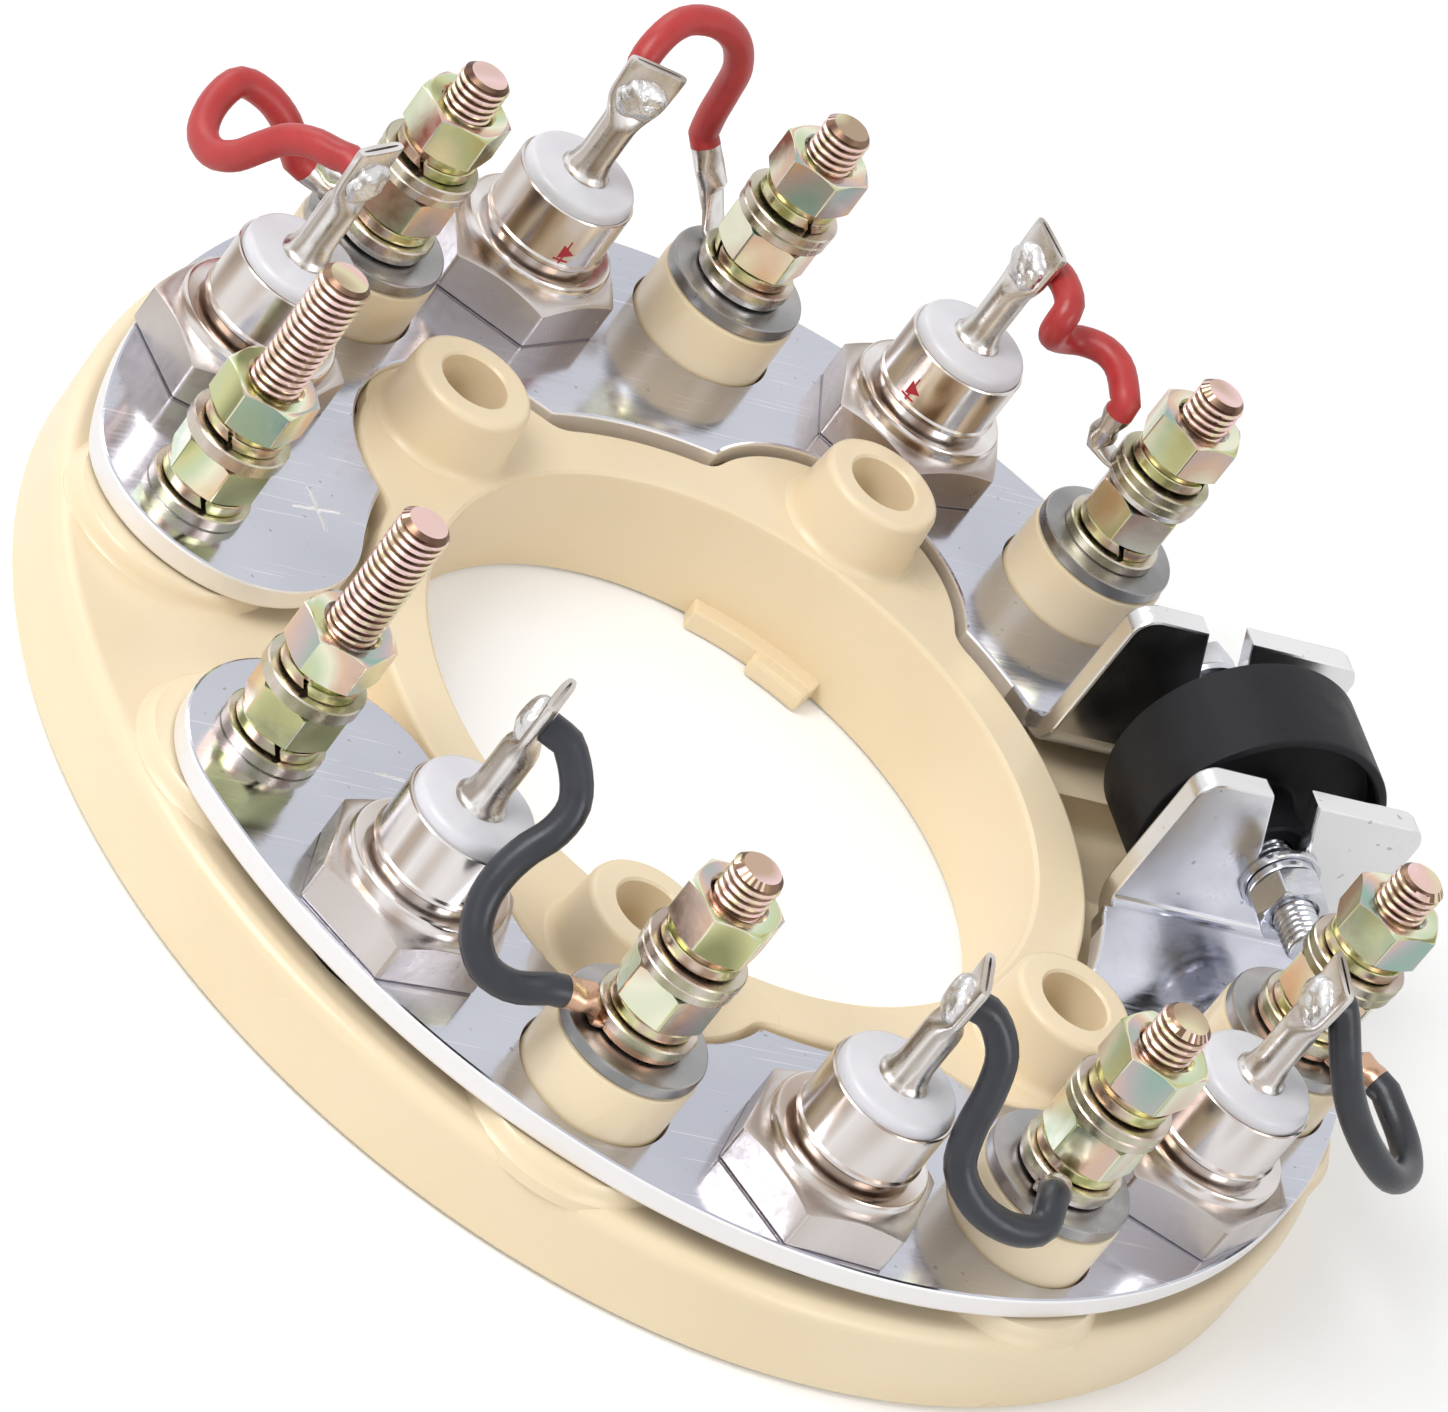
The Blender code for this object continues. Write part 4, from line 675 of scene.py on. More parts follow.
def bentFlap():
    # the flap's section is drawn as an outline with its bends as arcs, filled, then pulled along X
    s = plateSizes
    y, z, r = s["flapFace"], s["high"], s["bend"]
    letGo()
    bpy.ops.mesh.primitive_plane_add(size=1, location=(s["flapIn"] * mm, (y + 4.0) * mm, z * mm))
    flap = bpy.context.object
    flap.name = "flap"
    bake(flap)
    edit(flap)
    bpy.ops.mesh.delete(type="ONLY_FACE")
    bpy.ops.mesh.select_all(action="DESELECT")
    bpy.ops.object.mode_set(mode="OBJECT")
    keep = flap.data.vertices[0]
    for vertex in flap.data.vertices:
        vertex.select = vertex.index != 0
    keep.co = Vector((s["flapIn"] * mm, (y + r + 3.0) * mm, z * mm))
    bpy.ops.object.mode_set(mode="EDIT")
    bpy.ops.mesh.select_mode(type="VERT")
    bpy.ops.mesh.delete(type="VERT")
    bpy.ops.mesh.select_all(action="SELECT")
    outline = []
    centreY, centreZ = y + r, z + r
    for i in range(7):
        a = radians(270 - 15 * i)
        outline.append((centreY + r * cos(a), centreZ + r * sin(a)))
    outline += [(y, s["flapTop"]), (y - 3.0, s["flapTop"])]
    for i in range(9):
        a = radians(180 + 11.25 * i)
        outline.append((centreY + (r + 3.0) * cos(a), centreZ + (r + 3.0) * sin(a)))
    outline.append((centreY + 3.0, s["low"]))
    here = (centreY + 3.0, z)
    for there in outline:
        bpy.ops.mesh.extrude_region_move(TRANSFORM_OT_translate={
            "value": (0, (there[0] - here[0]) * mm, (there[1] - here[1]) * mm)})
        here = there
    bpy.ops.mesh.select_all(action="SELECT")
    bpy.ops.mesh.edge_face_add()
    bpy.ops.mesh.select_all(action="SELECT")
    bpy.ops.mesh.extrude_region_move(TRANSFORM_OT_translate={"value": ((s["flapOut"] - s["flapIn"]) * mm, 0, 0)})
    settle(flap)
    corners = []
    for x, side in ((s["flapIn"], 1), (s["flapOut"], -1)):
        r = s["corner"]
        low, high = (x - 2, x + r) if side > 0 else (x - r, x + 2)
        corner = block("corner", (low, y - 6, s["flapTop"] - r), (high, y + 3, s["flapTop"] + 2))
        drum = turned("drum", [(r, -12), (r, 12)], 64)
        moved(drum, x + side * r, y - 1, s["flapTop"] - r, tilt=(pi / 2, 0))
        carve(corner, [drum])
        corners.append(corner)
    carve(flap, corners)
    slot = block("slot", (-s["slotWidth"] / 2, -8, 0), (s["slotWidth"] / 2, 8, 16))
    end = turned("slotEnd", [(s["slotWidth"] / 2, -8), (s["slotWidth"] / 2, 8)], 48)
    moved(end, tilt=(pi / 2, 0))
    carve(slot, [end], "UNION")
    moved(slot, s["boltX"], y, s["boltZ"], tilt=(0, -radians(s["slotLean"])))
    carve(flap, [slot])
    return settle(flap)


def swept(centre, radius, first, last, step):
    # points of an arc but its last, in mm and degrees
    count = max(1, round(abs(last - first) / step))
    turns = [radians(first + (last - first) * k / count) for k in range(count)]
    return [(centre[0] + radius * cos(a), centre[1] + radius * sin(a)) for a in turns]


def crescentOutline():
    # outer arc, rounded end, then the inner arc with a notch round each boss
    s = plateSizes
    outer, inner, lobe, away, end = (s[k] for k in ("outer", "inner", "lobe", "lobeCentre", "endAngle"))
    seam = s["flapFace"] + s["bend"]
    points = swept((0, 0), outer, degrees(asin(seam / outer)), end, 1.0)
    points += swept(at((outer + inner) / 2, end), (outer - inner) / 2, end, end + 180, 5.0)
    reach = degrees(acos((inner ** 2 + away ** 2 - lobe ** 2) / (2 * inner * away)))
    swing = 180 - degrees(acos((lobe ** 2 + away ** 2 - inner ** 2) / (2 * lobe * away)))
    here = end
    for middle in (125.3, 54.7):
        points += swept((0, 0), inner, here, middle + reach, 2.0)
        points += swept(at(away, middle), lobe, middle + swing, middle - swing, 4.0)
        here = middle - reach
    last = degrees(asin(seam / inner))
    return points + swept((0, 0), inner, here, last, 2.0) + [at(inner, last)]


def crescentPlate(positive):
    s = plateSizes
    low, high = s["low"], s["high"]
    plate = traced("plate", [(x, y, low) for x, y in crescentOutline()])
    bpy.ops.mesh.select_all(action="SELECT")
    bpy.ops.mesh.edge_face_add()
    bpy.ops.mesh.extrude_region_move(TRANSFORM_OT_translate={"value": (0, 0, (high - low) * mm)})
    settle(plate)
    soften(plate, s["edge"], 2, 50)
    flap = soften(bentFlap(), s["edge"], 2, 50)
    carve(plate, [flap], "UNION")
    holes = [rod("hole", s["pillarHole"], 0, 30, 96, place) for place in acPlaces[:3]]
    holes += [rod("hole", s["diodeHole"], 0, 30, 48, place) for place in diodePlaces[:3]]
    holes += [rod("hole", s["studHole"], 0, 30, 48, dcPlaces[0])]
    carve(plate, holes)
    marks = []
    cx, cy = s["mark"]
    for turn in ((5, 95) if positive else (5,)):         # stamped plus or minus
        stroke = block("stroke", (-3.4, -0.3, high - 0.25), (3.4, 0.3, high + 1))
        marks.append(moved(stroke, cx, cy, turn=radians(turn)))
    for mark in marks:
        carve(plate, [mark])
    if not positive:
        edit(plate)
        bpy.ops.transform.mirror(constraint_axis=(False, True, False), center_override=(0, 0, 0))
        bpy.ops.mesh.normals_make_consistent(inside=False)
        bpy.ops.object.mode_set(mode="OBJECT")
    settle(plate, 20)
    name = "positivePlate" if positive else "negativePlate"
    plate.name = name
    given(plate, ["positive_plate" if positive else "negative_plate"], "plate_aluminium",
          finishes["sheet"], finishes["sheetEdge"], finishes["flap"])
    for face in plate.data.polygons:                     # the sheared edges are duller
        n, c = face.normal, face.center
        face.use_smooth = face.area < 0.000004
        rim = abs(n.z) < 0.8 and c.z < 0.0164 and (abs(c.y) > 0.0185 or c.x < 0.04)
        face.material_index = 1 if rim else 2 if c.z > 0.0168 else 0
        if hypot(c.x - cx * mm, abs(c.y) - cy * mm) < 0.0037 and c.z < 0.01638 and c.z > 0.0155:
            face.material_index = 1
    return plate


crescentPlate(True)
crescentPlate(False)
print("plates done")


# nuts and washers

hardware = {"bore": 3.02, "flats": 10.0, "nut": 5.4, "washer": 6.0, "spring": 5.2, "slit": 0.7}


def flatWasher(radius, bore, low, thick, finish="washer"):
    e = min(0.18, thick * 0.3)
    ring = turned("washer", [(bore, low + e), (bore + e, low), (radius - e, low), (radius, low + e),
                             (radius, low + thick - e), (radius - e, low + thick), (bore + e, low + thick),
                             (bore, low + thick - e)], 72, ring=True)
    return coated(ring, finishes[finish])


def springWasher(radius, bore, low, thick, split, lift=0.3):
    # split ring, its two ends a little apart in height
    ring = turned("spring", [(bore, low), (radius, low), (radius, low + thick), (bore, low + thick)], 72, ring=True)
    soften(ring, 0.2, 2)
    slit = block("slit", (0, -hardware["slit"] / 2, -3), (radius + 3, hardware["slit"] / 2, 3))
    moved(slit, 0, 0, low + thick / 2, turn=radians(split), tilt=(radians(32), 0))
    carve(ring, [slit])
    for vertex in ring.data.vertices:
        lag = (degrees(atan2(vertex.co.y, vertex.co.x)) - split) % 360
        vertex.co.z += lag / 360 * lift * mm
    return coated(settle(ring), finishes["spring"])


def hexNut(flats, bore, low, height, turn, finish="nut"):
    corner = flats / sqrt(3)
    nut = turned("nut", [(corner, low), (corner, low + height)], 6, turn=radians(turn + 30))
    soften(nut, 0.16, 2)
    face = flats * 0.475
    fall = (corner - face) * 0.58
    lens = turned("lens", [(face, low), (corner + 0.1, low + fall), (corner + 0.1, low + height - fall),
                           (face, low + height)], 96)
    carve(nut, [lens], "INTERSECT")
    hole = turned("hole", [(bore + 0.6, low - 0.1), (bore, low + 0.5), (bore, low + height - 0.5),
                           (bore + 0.6, low + height + 0.1)], 48)
    carve(nut, [hole])
    return coated(settle(nut, 28), finishes[finish])


def stacked(name, node, x, y, pieces, slotName="yellow_zinc"):
    stack = moved(joined(pieces, name), x, y)
    return given(stack, [node], slotName)


def nutFoot(low, high):
    # washer face under a nut that stands a little off its spring washer
    return coated(turned("foot", [(hardware["bore"] + 0.2, low), (4.3, low), (4.3, high), (hardware["bore"] + 0.2, high)],
                         48, ring=True), finishes["spring"])


def clampingSets():
    h = hardware
    bore = h["bore"]
    for number, (x, y) in enumerate(acPlaces, 1):
        low = 25.2 if number == 3 else 26.3
        stacked("acLowerNut%d" % number, "ac_lower_nut_%d" % number, x, y,
                [flatWasher(h["washer"], bore, low, 1.5),
                 springWasher(h["spring"] - 0.1, bore + 0.2, low + 1.5, 1.45, 40 + 71 * number),
                 hexNut(h["flats"], bore, low + 3.1, h["nut"] + 0.1, 17.0 * number)])
        low = 34.9
        stacked("acUpperNut%d" % number, "ac_upper_nut_%d" % number, x, y,
                [flatWasher(h["washer"] - 0.1, bore, low, 1.35), flatWasher(h["washer"], bore, low + 1.4, 1.35),
                 springWasher(4.85, bore + 0.2, low + 2.75, 1.5, 190 + 40 * number, 0.5),
                 nutFoot(low + 4.2, low + 5.6), hexNut(h["flats"], bore, low + 5.45, h["nut"] + 0.05, 41.0 * number)])
    for sign, (x, y) in zip(("positive", "negative"), dcPlaces):
        stacked("dcLowerNut_" + sign, "dc_lower_nut_" + sign, x, y,
                [flatWasher(h["washer"], bore, 16.4, 1.6), springWasher(h["spring"], bore + 0.2, 18.0, 1.5, 250),
                 hexNut(h["flats"], bore, 19.6, h["nut"], 12.0)])
        stacked("dcUpperNut_" + sign, "dc_upper_nut_" + sign, x, y,
                [flatWasher(h["washer"], bore, 25.0, 1.9), springWasher(4.85, bore + 0.2, 26.9, 1.4, 230, 0.4),
                 nutFoot(28.2, 29.2), hexNut(h["flats"], bore, 29.0, h["nut"], 35.0)])


clampingSets()
print("nuts and washers done")


# terminal studs

studSizes = {"radius": 3.0, "pitch": 1.0, "top": 50.5, "disc": 8.7, "discLow": 23.4, "discTop": 25.2,
             "root": 4.0, "rootLow": 12.6, "headFlats": 10.0, "headLow": 1.7, "headTop": 6.0}


def terminalStuds():
    s = studSizes
    disc = turned("acStudMaster", [(s["root"] - 0.4, s["rootLow"]), (s["root"], s["rootLow"] + 0.4), (s["root"], s["discLow"]),
                                   (s["disc"] - 0.3, s["discLow"]), (s["disc"], s["discLow"] + 0.3),
                                   (s["disc"], s["discTop"] - 0.35), (s["disc"] - 0.12, s["discTop"] - 0.1),
                                   (s["disc"] - 0.35, s["discTop"])], 96)
    coated(disc, finishes["disc"])
    master = joined([disc, threaded("thread", s["radius"], s["discTop"] - 0.4, s["top"], s["pitch"])])
    for number, (x, y) in enumerate(acPlaces, 1):
        given(copied(master, "acStud%d" % number, x, y, turn=radians(50 * number)), ["ac_stud_%d" % number], "yellow_zinc")
    bpy.data.objects.remove(master)
    head = turned("dcStudMaster", [(s["headFlats"] / sqrt(3), s["headLow"]), (s["headFlats"] / sqrt(3), s["headTop"])], 6)
    soften(head, 0.4, 3)
    coated(head, finishes["nut"])
    master = joined([head, threaded("shank", s["radius"], s["headTop"] - 0.3, s["top"], s["pitch"])])
    for sign, (x, y) in zip(("positive", "negative"), dcPlaces):
        given(copied(master, "dcStud_" + sign, x, y, turn=radians(30 if sign == "positive" else 75)),
              ["dc_stud_" + sign], "yellow_zinc")
    bpy.data.objects.remove(master)


terminalStuds()
print("studs done")


# diodes

diodeSizes = {"flats": 21.0, "low": 16.4, "hexTop": 22.4, "collar": 9.6, "collarTop": 24.2, "groove": 6.9,
              "grooveTop": 25.0, "can": 7.5, "canTop": 32.6, "wall": 0.5, "sealFloor": 31.6,
              "stud": 4.0, "studLow": 2.2, "nutFlats": 13.0, "nutLow": 6.6, "nutTop": 13.4,
              "turns": (40, 23, 10, 3, 54, 30), "facings": (118, 77, 8, -40, -25, -10),
              "marks": (None, -97.1, -147.4, -82.0, None, None), "markHeight": 27.4}


def diodeBody():
    # hexagon, collar, groove and can of one master, with its stud and nut below
    s = diodeSizes
    corner = s["flats"] / sqrt(3)
    body = turned("diodeMaster", [(corner, s["low"]), (corner, s["hexTop"])], 6, turn=radians(30))
    soften(body, 0.35, 3)
    crown = turned("crown", [(corner + 1, s["low"] - 1), (corner + 0.1, s["hexTop"] - 1.15), (10.0, s["hexTop"])], 120)
    carve(body, [crown], "INTERSECT")
    c = s["collar"]
    upper = turned("upper", [(c, s["hexTop"] - 1.0), (c, s["hexTop"] + 0.9), (c - 0.1, s["collarTop"] - 0.35),
                             (c - 0.3, s["collarTop"] - 0.1), (c - 0.7, s["collarTop"]), (s["groove"], s["collarTop"]),
                             (s["groove"], s["grooveTop"] - 0.1), (s["can"] + 0.05, s["grooveTop"] + 0.1),
                             (s["can"] + 0.25, s["grooveTop"] + 0.35), (s["can"] + 0.25, s["grooveTop"] + 0.75),
                             (s["can"], s["grooveTop"] + 1.0), (s["can"], s["canTop"] - 0.2),
                             (s["can"] - 0.12, s["canTop"] - 0.04), (s["can"] - 0.3, s["canTop"]),
                             (s["can"] - s["wall"], s["canTop"] - 0.15), (s["can"] - s["wall"], s["sealFloor"])], 96)
    coated(body, finishes["hexagon"])
    coated(upper, finishes["nickel"])
    thread = threaded("diodeThread", s["stud"], -s["low"] - 0.5, -s["studLow"], 1.25, 0.6, 28, 0.9)
    moved(thread, tilt=(pi, 0))
    nut = hexNut(s["nutFlats"], s["stud"] + 0.05, s["nutLow"], s["nutTop"] - s["nutLow"] - 1.2, 0, "brightZinc")
    washer = flatWasher(7.4, s["stud"] + 0.1, s["nutTop"] - 1.2, 1.2, "brightZinc")
    coated(thread, finishes["nickel"], finishes["nickel"])
    return settle(joined([body, upper, thread, nut, washer], "diodeMaster"), 32)


def sealDisc():
    r = diodeSizes["can"] - diodeSizes["wall"] + 0.02
    return turned("sealMaster", [(r, 31.6), (r, 33.0), (r - 0.08, 33.5), (r - 0.35, 33.9), (r - 0.8, 34.1),
                                 (4.4, 34.25), (3.1, 34.3)], 96)


def tubeTerminal():
    # brazed foot, round tube and the tab that it is pinched into, with its slit mouth
    up, foot = (0, 0, 1), 34.2
    def level(z, width, height, square=1.0):
        return ((0, 0, z), up, width, height, square)
    steps = [level(foot, 3.05, 3.05), level(foot + 0.35, 3.0, 3.0), level(foot + 0.6, 2.75, 2.75),
             level(foot + 1.0, 2.5, 2.5), level(35.9, 2.37, 2.37), level(36.6, 2.2, 2.2), level(37.4, 2.15, 2.15),
             level(40.0, 2.15, 2.15), level(42.0, 2.16, 2.15), level(42.9, 2.30, 2.02), level(43.8, 2.68, 1.55, 0.92),
             level(44.5, 3.02, 1.16, 0.85), level(45.2, 3.28, 0.93, 0.75), level(46.2, 3.46, 0.84, 0.66),
             level(47.5, 3.54, 0.80, 0.62), level(49.0, 3.62, 0.77, 0.60), level(50.7, 3.68, 0.75, 0.58),
             level(51.0, 3.60, 0.66, 0.58), level(51.0, 2.9, 0.16, 0.6), level(50.4, 2.8, 0.10, 0.6)]
    tube = lofted("tubeMaster", steps, (0, 0, 1), 64)
    return coated(tube, finishes["tin"])


def solderJoint():
    # bead over the wire's end, on the side of the tab that faces away from the lead
    letGo()
    bpy.ops.mesh.primitive_uv_sphere_add(segments=64, ring_count=32, radius=mm)
    bead = bpy.context.object
    bead.scale = (2.95, 1.6, 2.8)
    bake(bead)
    for vertex in bead.data.vertices:
        p = vertex.co / mm
        swell = 1 + 0.06 * sin(1.7 * p.x + 0.6) * cos(1.5 * p.z + 0.4) + 0.03 * sin(3.1 * p.z + 1.9 * p.x)
        hollow = max(0.0, 1 - ((p.x - 0.7) ** 2 + (p.z - 0.5) ** 2) / 0.8)
        vertex.co *= swell * (1 - 0.16 * hollow)
    moved(bead, 0.1, -0.75, 46.5)
    wire = rod("wire", 0.75, -1.9, 1.6, 24)
    soften(wire, 0.25, 3)
    moved(wire, -0.55, -0.45, 46.6, tilt=(pi / 2, 0))
    coated(bead, finishes["solder"])
    return joined([settle(bead, 60), coated(wire, finishes["solder"])])


def diodeMark():
    # generic diode sign: upright line, arrow and bar, wrapped round the can
    marks = [block("stroke", (-0.10, 0, -2.0), (0.10, 0.05, 2.0)), block("stroke", (-0.95, 0, -1.05), (0.95, 0.05, -0.80))]
    arrow = turned("arrow", [(1.15, 0), (1.15, 0.05)], 3, turn=radians(-90))
    moved(arrow, tilt=(pi / 2, 0))
    moved(arrow, 0, 0.05, 0.25)
    marks.append(arrow)
    mark = joined(marks, "diodeMark")
    edit(mark)
    bpy.ops.mesh.subdivide(number_cuts=5)
    bpy.ops.object.mode_set(mode="OBJECT")
    s, can = diodeSizes, diodeSizes["can"]
    for vertex in mark.data.vertices:
        x, y, z = vertex.co / mm
        a, r = x / can, can + 0.03 - y
        vertex.co = Vector((r * sin(a), -r * cos(a), z + s["markHeight"])) * mm
    return coated(settle(mark, 40), finishes["print"])


def diodes():
    s = diodeSizes
    body, seal, mark = diodeBody(), sealDisc(), diodeMark()
    terminal = joined([tubeTerminal(), solderJoint()], "tubeMaster")
    for number, (x, y) in enumerate(diodePlaces, 1):
        piece = copied(body, "diodeBody%d" % number, x, y, turn=radians(s["turns"][number - 1]))
        if s["marks"][number - 1] is not None:
            sign = copied(mark, "sign%d" % number, x, y, turn=radians(s["marks"][number - 1] + 90))
            if number > 3:
                coated(sign, finishes["darkPrint"])
            joined([piece, sign])
        given(piece, ["diode_%d_body" % number], "diode_nickel")
        piece = copied(seal, "diodeSeal%d" % number, x, y, turn=radians(60 * number))
        given(piece, ["diode_%d_insulator" % number], "white_ceramic", finishes["insulator"])
        piece = copied(terminal, "diodeTerminal%d" % number, x, y,
                       turn=radians(s["facings"][number - 1] - 90))
        given(piece, ["diode_%d_terminal" % number], "tinned_terminal")
    for master in (body, seal, mark, terminal):
        bpy.data.objects.remove(master)


diodes()
print("diodes done")


# leads and ring lugs, points in mm from the middle of each lug's ring, the last at the barrel's mouth

leadSizes = {"radius": 1.8, "tab": 46.8, "start": 0.85, "lugLow": 25.5, "lugAboveNut": 34.1}
routes = {
    1: [(-21.7, -15.7, 20.7), (-23.6, -13.1, 19.5), (-25.1, -10.8, 17.3), (-26.3, -9.5, 14.5),
        (-27.3, -7.7, 10.9), (-28.1, -5.1, 8.5), (-28.1, -1.1, 7.7), (-26.4, 2.9, 9.1),
        (-23.4, 5.5, 10.9), (-19.8, 5.3, 10.3), (-16.4, 4.1, 8.5), (-13.5, 3.3, 6.1), (-11.3, 2.7, 3.8)],
    2: [(-27.1, 3.6, 23.3), (-25.1, 6.0, 26.3), (-22.1, 8.0, 27.5), (-17.7, 9.0, 27.5),
        (-13.7, 9.6, 25.5), (-10.7, 10.2, 21.5), (-9.3, 11.2, 17.1), (-8.3, 12.0, 12.9),
        (-7.1, 12.2, 9.9), (-6.3, 12.1, 8.1)],
    3: [(-16.0, 17.5, 13.3), (-15.8, 15.1, 13.4), (-16.0, 12.7, 12.9), (-16.7, 11.5, 11.1),
        (-15.7, 12.3, 8.8), (-13.0, 13.7, 7.5), (-10.1, 13.7, 7.9), (-8.2, 12.0, 8.7),
        (-7.1, 9.5, 8.8), (-6.8, 6.7, 8.1), (-7.0, 4.6, 6.2)],
    4: [(-17.3, 17.1, 21.3), (-15.5, 14.7, 19.3), (-15.0, 12.1, 16.9), (-16.1, 10.7, 14.1),
        (-18.1, 10.1, 11.3), (-19.7, 9.1, 8.5), (-20.7, 7.5, 5.5), (-20.7, 4.9, 2.7),
        (-19.3, 2.3, 1.1), (-16.3, 0.7, 0.9), (-13.5, 0.1, 1.7), (-11.1, -0.1, 2.4)],
    5: [(-23.4, -2.0, 20.5), (-21.4, -3.8, 17.9), (-21.0, -5.6, 14.1), (-21.4, -7.4, 9.7),
        (-20.8, -9.2, 5.9), (-17.5, -11.4, 3.1), (-12.5, -12.6, 1.9), (-8.7, -12.0, 2.3),
        (-6.9, -10.0, 3.3), (-6.4, -7.9, 3.4)],
    6: [(-15.6, -20.3, 20.1), (-13.4, -22.5, 16.1), (-10.3, -24.1, 11.9), (-5.0, -25.3, 7.1),
        (1.2, -24.9, 3.1), (5.8, -21.7, 1.5), (7.4, -17.1, 1.3), (6.9, -12.7, 1.7), (5.9, -9.2, 2.1)]}
barrelRoots = {1: (-6.6, 1.5, 2.2), 2: (-3.2, 9.6, 3.8), 3: (-6.6, 5.0, 1.3),
               4: (-6.7, 0.0, 2.2), 5: (-4.3, -5.2, 2.2), 6: (3.8, -5.9, 2.1)}
lugSizes = {"ring": 5.7, "bore": 3.2, "thick": 0.8, "tongue": 2.0, "reach": 7.3, "barrel": 1.75}


def lugCentre(number):
    x, y = acPlaces[number - 1]
    return Vector((x, y, leadSizes["lugAboveNut" if number == 3 else "lugLow"]))


def lead(number):
    s = leadSizes
    centre, (x, y) = lugCentre(number), diodePlaces[number - 1]
    points = [centre + Vector(p) for p in routes[number]]
    mouth = points.pop()
    axis = (mouth - centre - Vector(barrelRoots[number])).normalized()
    last = mouth + axis * (0.3 + s["radius"] * 0.7)
    if (points[-1] - last).length < 2.4:
        points.pop()
    facing = radians(diodeSizes["facings"][number - 1])
    away = Vector((cos(facing), sin(facing), 0))
    middle = Vector((x, y, s["tab"]))
    path = [middle + away * s["start"]] + smoothRoute([middle + away * 2.49, *points, last], 1.1) + [mouth]
    curve = bpy.data.curves.new("lead%d" % number, "CURVE")
    curve.dimensions = "3D"
    curve.bevel_depth = s["radius"] * mm
    curve.bevel_resolution = 7
    curve.use_fill_caps = True
    spline = curve.splines.new("POLY")
    spline.points.add(len(path) - 1)
    for place, point in zip(spline.points, path):
        place.co = (*(point * mm), 1)
    spline.use_smooth = True
    cable = bpy.data.objects.new("lead%d" % number, curve)
    bpy.context.scene.collection.objects.link(cable)
    colour = "red" if number <= 3 else "black"
    return given(cable, ["lead_%d" % number], colour + "_insulation", finishes[colour])


def ringLug(number):
    # stamped ring whose tongue rolls up into the crimped barrel
    s = lugSizes
    centre, root = lugCentre(number), Vector(barrelRoots[number])
    mouth = Vector(routes[number][-1])
    b = (mouth - root).normalized()
    h = Vector((root.x, root.y, 0)).normalized()
    half, r = s["thick"] / 2, s["barrel"]
    ring = rod("ring", s["ring"], 0, s["thick"], 72)
    soften(ring, 0.12, 2)
    steps = [(h * 3.6 + Vector((0, 0, half)), h, s["tongue"], half, 0.3),
             (h * 6.0 + Vector((0, 0, half)), h, s["tongue"], half, 0.3),
             (h * 6.8 + Vector((0, 0, half + 0.1)), h + b * 0.2, s["tongue"] * 0.95, half + 0.05, 0.4)]
    tongueEnd = h * 7.2 + Vector((0, 0, half + 0.2))
    if (root - tongueEnd).length > 2.6:
        steps.append((tongueEnd.lerp(root, 0.45), (root - tongueEnd), s["tongue"] * 0.75, 0.55, 0.4))
    steps += [(root + b * 0.1 - Vector((0, 0, 0.5)), h * 0.5 + b, r * 0.95, r * 0.62, 0.7),
              (root + b * 0.9, b, r, r, 0.95), (root + b * 1.5, b, r + 0.05, r * 0.97, 1)]
    length = (mouth - root).length
    steps += [(root + b * length * 0.48, b, r + 0.22, r * 0.76, 0.8),
              (root + b * length * 0.62, b, r + 0.22, r * 0.76, 0.8),
              (mouth - b * 0.8, b, r + 0.02, r, 1), (mouth, b, r + 0.06, r + 0.06, 1),
              (mouth, b, r - 0.35, r - 0.35, 1), (mouth - b * 0.5, b, r - 0.4, r - 0.4, 1)]
    tongue = lofted("tongue", steps, h, 40)
    carve(ring, [tongue], "UNION")
    carve(ring, [rod("bore", s["bore"], -2, 3, 48)])
    settle(ring, 40)
    ring.name = "leadLug%d" % number
    moved(ring, centre.x, centre.y, centre.z)
    return given(ring, ["lead_%d_lug" % number], "tinned_lug", finishes["copper" if number in (4, 6) else "lug"])


for number in range(1, 7):
    lead(number)
    ringLug(number)
print("leads done")


# varistor and its bolt

varistorSizes = {"x": 65.0, "y": -1.0, "z": 25.2, "radius": 15.2, "half": 6.2, "rim": 1.3, "web": 2.8,
                 "hub": 4.6, "hubReach": 10.9, "bore": 2.8, "bolt": 2.5, "flange": 4.8, "flats": 8.0}


def alongY(piece, y, back=False):
    s = varistorSizes
    return moved(piece, s["x"], y, s["z"], tilt=(pi / 2 if back else -pi / 2, 0))


def varistorDisc():
    s = varistorSizes
    r, half, inner, web = s["radius"], s["half"], s["radius"] - s["rim"], s["web"]
    low, high = -s["hubReach"] - s["y"], s["hubReach"] - s["y"]
    hub = s["hub"]
    profile = [(s["bore"], low), (hub - 0.3, low), (hub, low + 0.3), (hub, -web - 0.9), (hub + 0.3, -web - 0.3),
               (hub + 0.9, -web), (inner - 0.8, -web), (inner - 0.2, -web - 0.3), (inner, -web - 0.9),
               (inner, -half + 0.3), (inner + 0.3, -half), (r - 0.4, -half), (r - 0.1, -half + 0.15),
               (r, -half + 0.4), (r, half - 0.4), (r - 0.1, half - 0.15), (r - 0.4, half), (inner + 0.3, half),
               (inner, half - 0.3), (inner, web + 0.9), (inner - 0.2, web + 0.3), (inner - 0.8, web),
               (hub + 0.9, web), (hub + 0.3, web + 0.3), (hub, web + 0.9), (hub, high - 0.3), (hub - 0.3, high),
               (s["bore"], high)]
    disc = turned("varistorDisc", profile, 144, ring=True)
    alongY(disc, s["y"])
    return given(disc, ["varistor"], "black_epoxy", finishes["epoxy"])


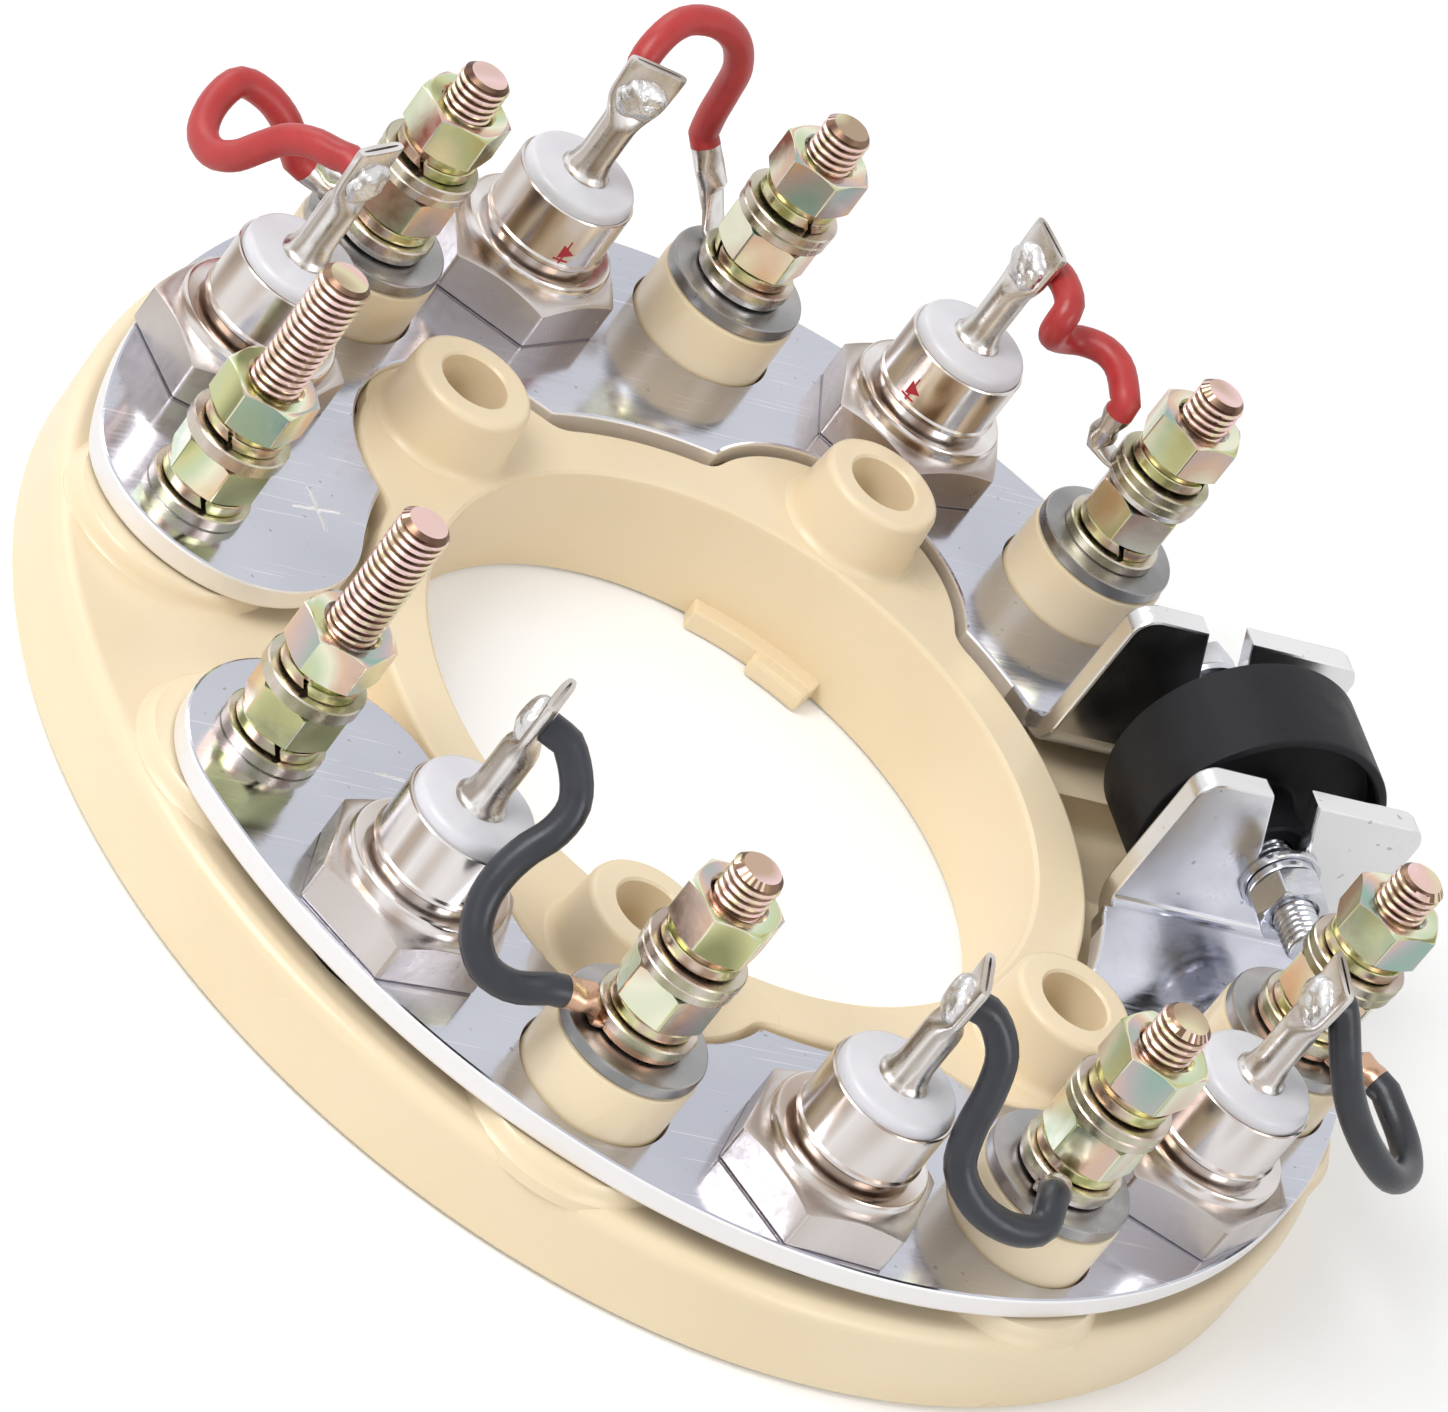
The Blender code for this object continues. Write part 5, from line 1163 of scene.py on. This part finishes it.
def varistorFixings():
    s = varistorSizes
    shank = threaded("varistorBolt", s["bolt"], -25.3, 15.0, 0.8, 0.4, 24, 0)
    cap = turned("cap", [(s["bolt"] - 0.6, -25.4), (s["bolt"] + 0.02, -24.7), (s["bolt"] + 0.02, 20)], 48)
    carve(shank, [cap], "INTERSECT")
    flange = turned("flange", [(s["flange"], 14.2), (s["flange"], 15.0), (s["flange"] - 0.4, 15.5)], 72)
    head = turned("head", [(s["flats"] / sqrt(3), 15.0), (s["flats"] / sqrt(3), 19.0)], 6)
    soften(head, 0.3, 3)
    for piece in (shank, flange, head):
        coated(piece, finishes["brightZinc"])
    bolt = joined([shank, flange, head], "varistorBolt")
    alongY(bolt, 0)
    given(bolt, ["varistor_bolt"], "white_zinc")
    parts = [flatWasher(s["flange"], s["bolt"] + 0.05, 0, 0.9, "brightZinc"),
             coated(springWasher(s["flange"] * 0.88, s["bolt"] + 0.1, 0.9, 1.1, 60), finishes["brightZinc"]),
             hexNut(s["flats"], s["bolt"] + 0.02, 2.1, 4.0, 15, "brightZinc")]
    nut = joined(parts, "varistorNut")
    alongY(nut, -14.2, back=True)
    return given(nut, ["varistor_nut"], "white_zinc")


varistorDisc()
varistorFixings()
print("varistor done")




# studio

studio = {"focal": 218.8, "sensor": 36.0, "position": (-531.33, -623.00, 555.50),
          "azimuth": -40.25, "elevation": 33.30, "roll": 37.94, "world": 0.54}


def studioCamera():
    s = studio
    az, el, roll = (radians(s[k]) for k in ("azimuth", "elevation", "roll"))
    back = Vector((sin(az) * cos(el), -cos(az) * cos(el), sin(el)))
    side = Vector((cos(az), sin(az), 0))
    up = back.cross(side)
    right = side * cos(roll) + up * sin(roll)
    over = up * cos(roll) - side * sin(roll)
    lens = bpy.data.cameras.new("camera")
    lens.lens = s["focal"]
    lens.sensor_width = s["sensor"]
    lens.sensor_fit = "HORIZONTAL"
    lens.clip_start = 0.01
    lens.clip_end = 20
    camera = bpy.data.objects.new("camera", lens)
    bpy.context.scene.collection.objects.link(camera)
    camera.matrix_world = Matrix.Translation(Vector(s["position"]) * mm) @ Matrix((right, over, back)).transposed().to_4x4()
    bpy.context.scene.camera = camera


def lamp(name, place, target, size, power, colour=(1, 1, 1)):
    light = bpy.data.lights.new(name, "AREA")
    light.energy = power
    light.size = size
    light.color = colour
    lamp = bpy.data.objects.new(name, light)
    bpy.context.scene.collection.objects.link(lamp)
    lamp.location = place
    lamp.rotation_euler = (Vector(target) - Vector(place)).to_track_quat("-Z", "Y").to_euler()
    return lamp


def paleFloor():
    letGo()
    bpy.ops.mesh.primitive_plane_add(size=6, location=(0, 0, -0.0002))
    floor = bpy.context.object
    floor.name = "floor"
    finish, tree, shader = shaderOf("paleFloor", (0.90, 0.90, 0.90), 0.8)
    rays = tree.nodes.new("ShaderNodeLightPath")
    glow = tree.nodes.new("ShaderNodeMapRange")
    glow.inputs["To Max"].default_value = 0.16
    tree.links.new(rays.outputs["Is Camera Ray"], glow.inputs["Value"])
    shader.inputs["Emission Color"].default_value = (1, 1, 1, 1)
    tree.links.new(glow.outputs["Result"], shader.inputs["Emission Strength"])
    floor.data.materials.append(finish)


def studioLight():
    world = bpy.data.worlds.new("studio")
    bpy.context.scene.world = world
    world.use_nodes = True
    tree = world.node_tree
    air = tree.nodes["Background"]
    rays = tree.nodes.new("ShaderNodeLightPath")
    seen = mathNode(tree, "MAXIMUM", rays.outputs["Is Camera Ray"],
                    mathNode(tree, "MAXIMUM", rays.outputs["Is Glossy Ray"], rays.outputs["Is Transmission Ray"]))
    tree.links.new(levels(tree, seen, studio["world"], 1.0, 0.0, 1.0), air.inputs["Strength"])
    air.inputs["Color"].default_value = (1, 1, 1, 1)
    lamp("keyLight", (-0.85, -0.05, 0.85), (0, 0, 0), 0.6, 8.0)
    lamp("sideLight", (0.45, -0.95, 0.55), (0, 0, 0), 0.5, 2.6)
    lamp("backLight", (-0.35, 0.95, 0.70), (0, 0, 0), 0.6, 2.4)


studioCamera()
paleFloor()
studioLight()
bpy.context.scene.view_settings.view_transform = "Standard"
letGo()
print("studio ready")
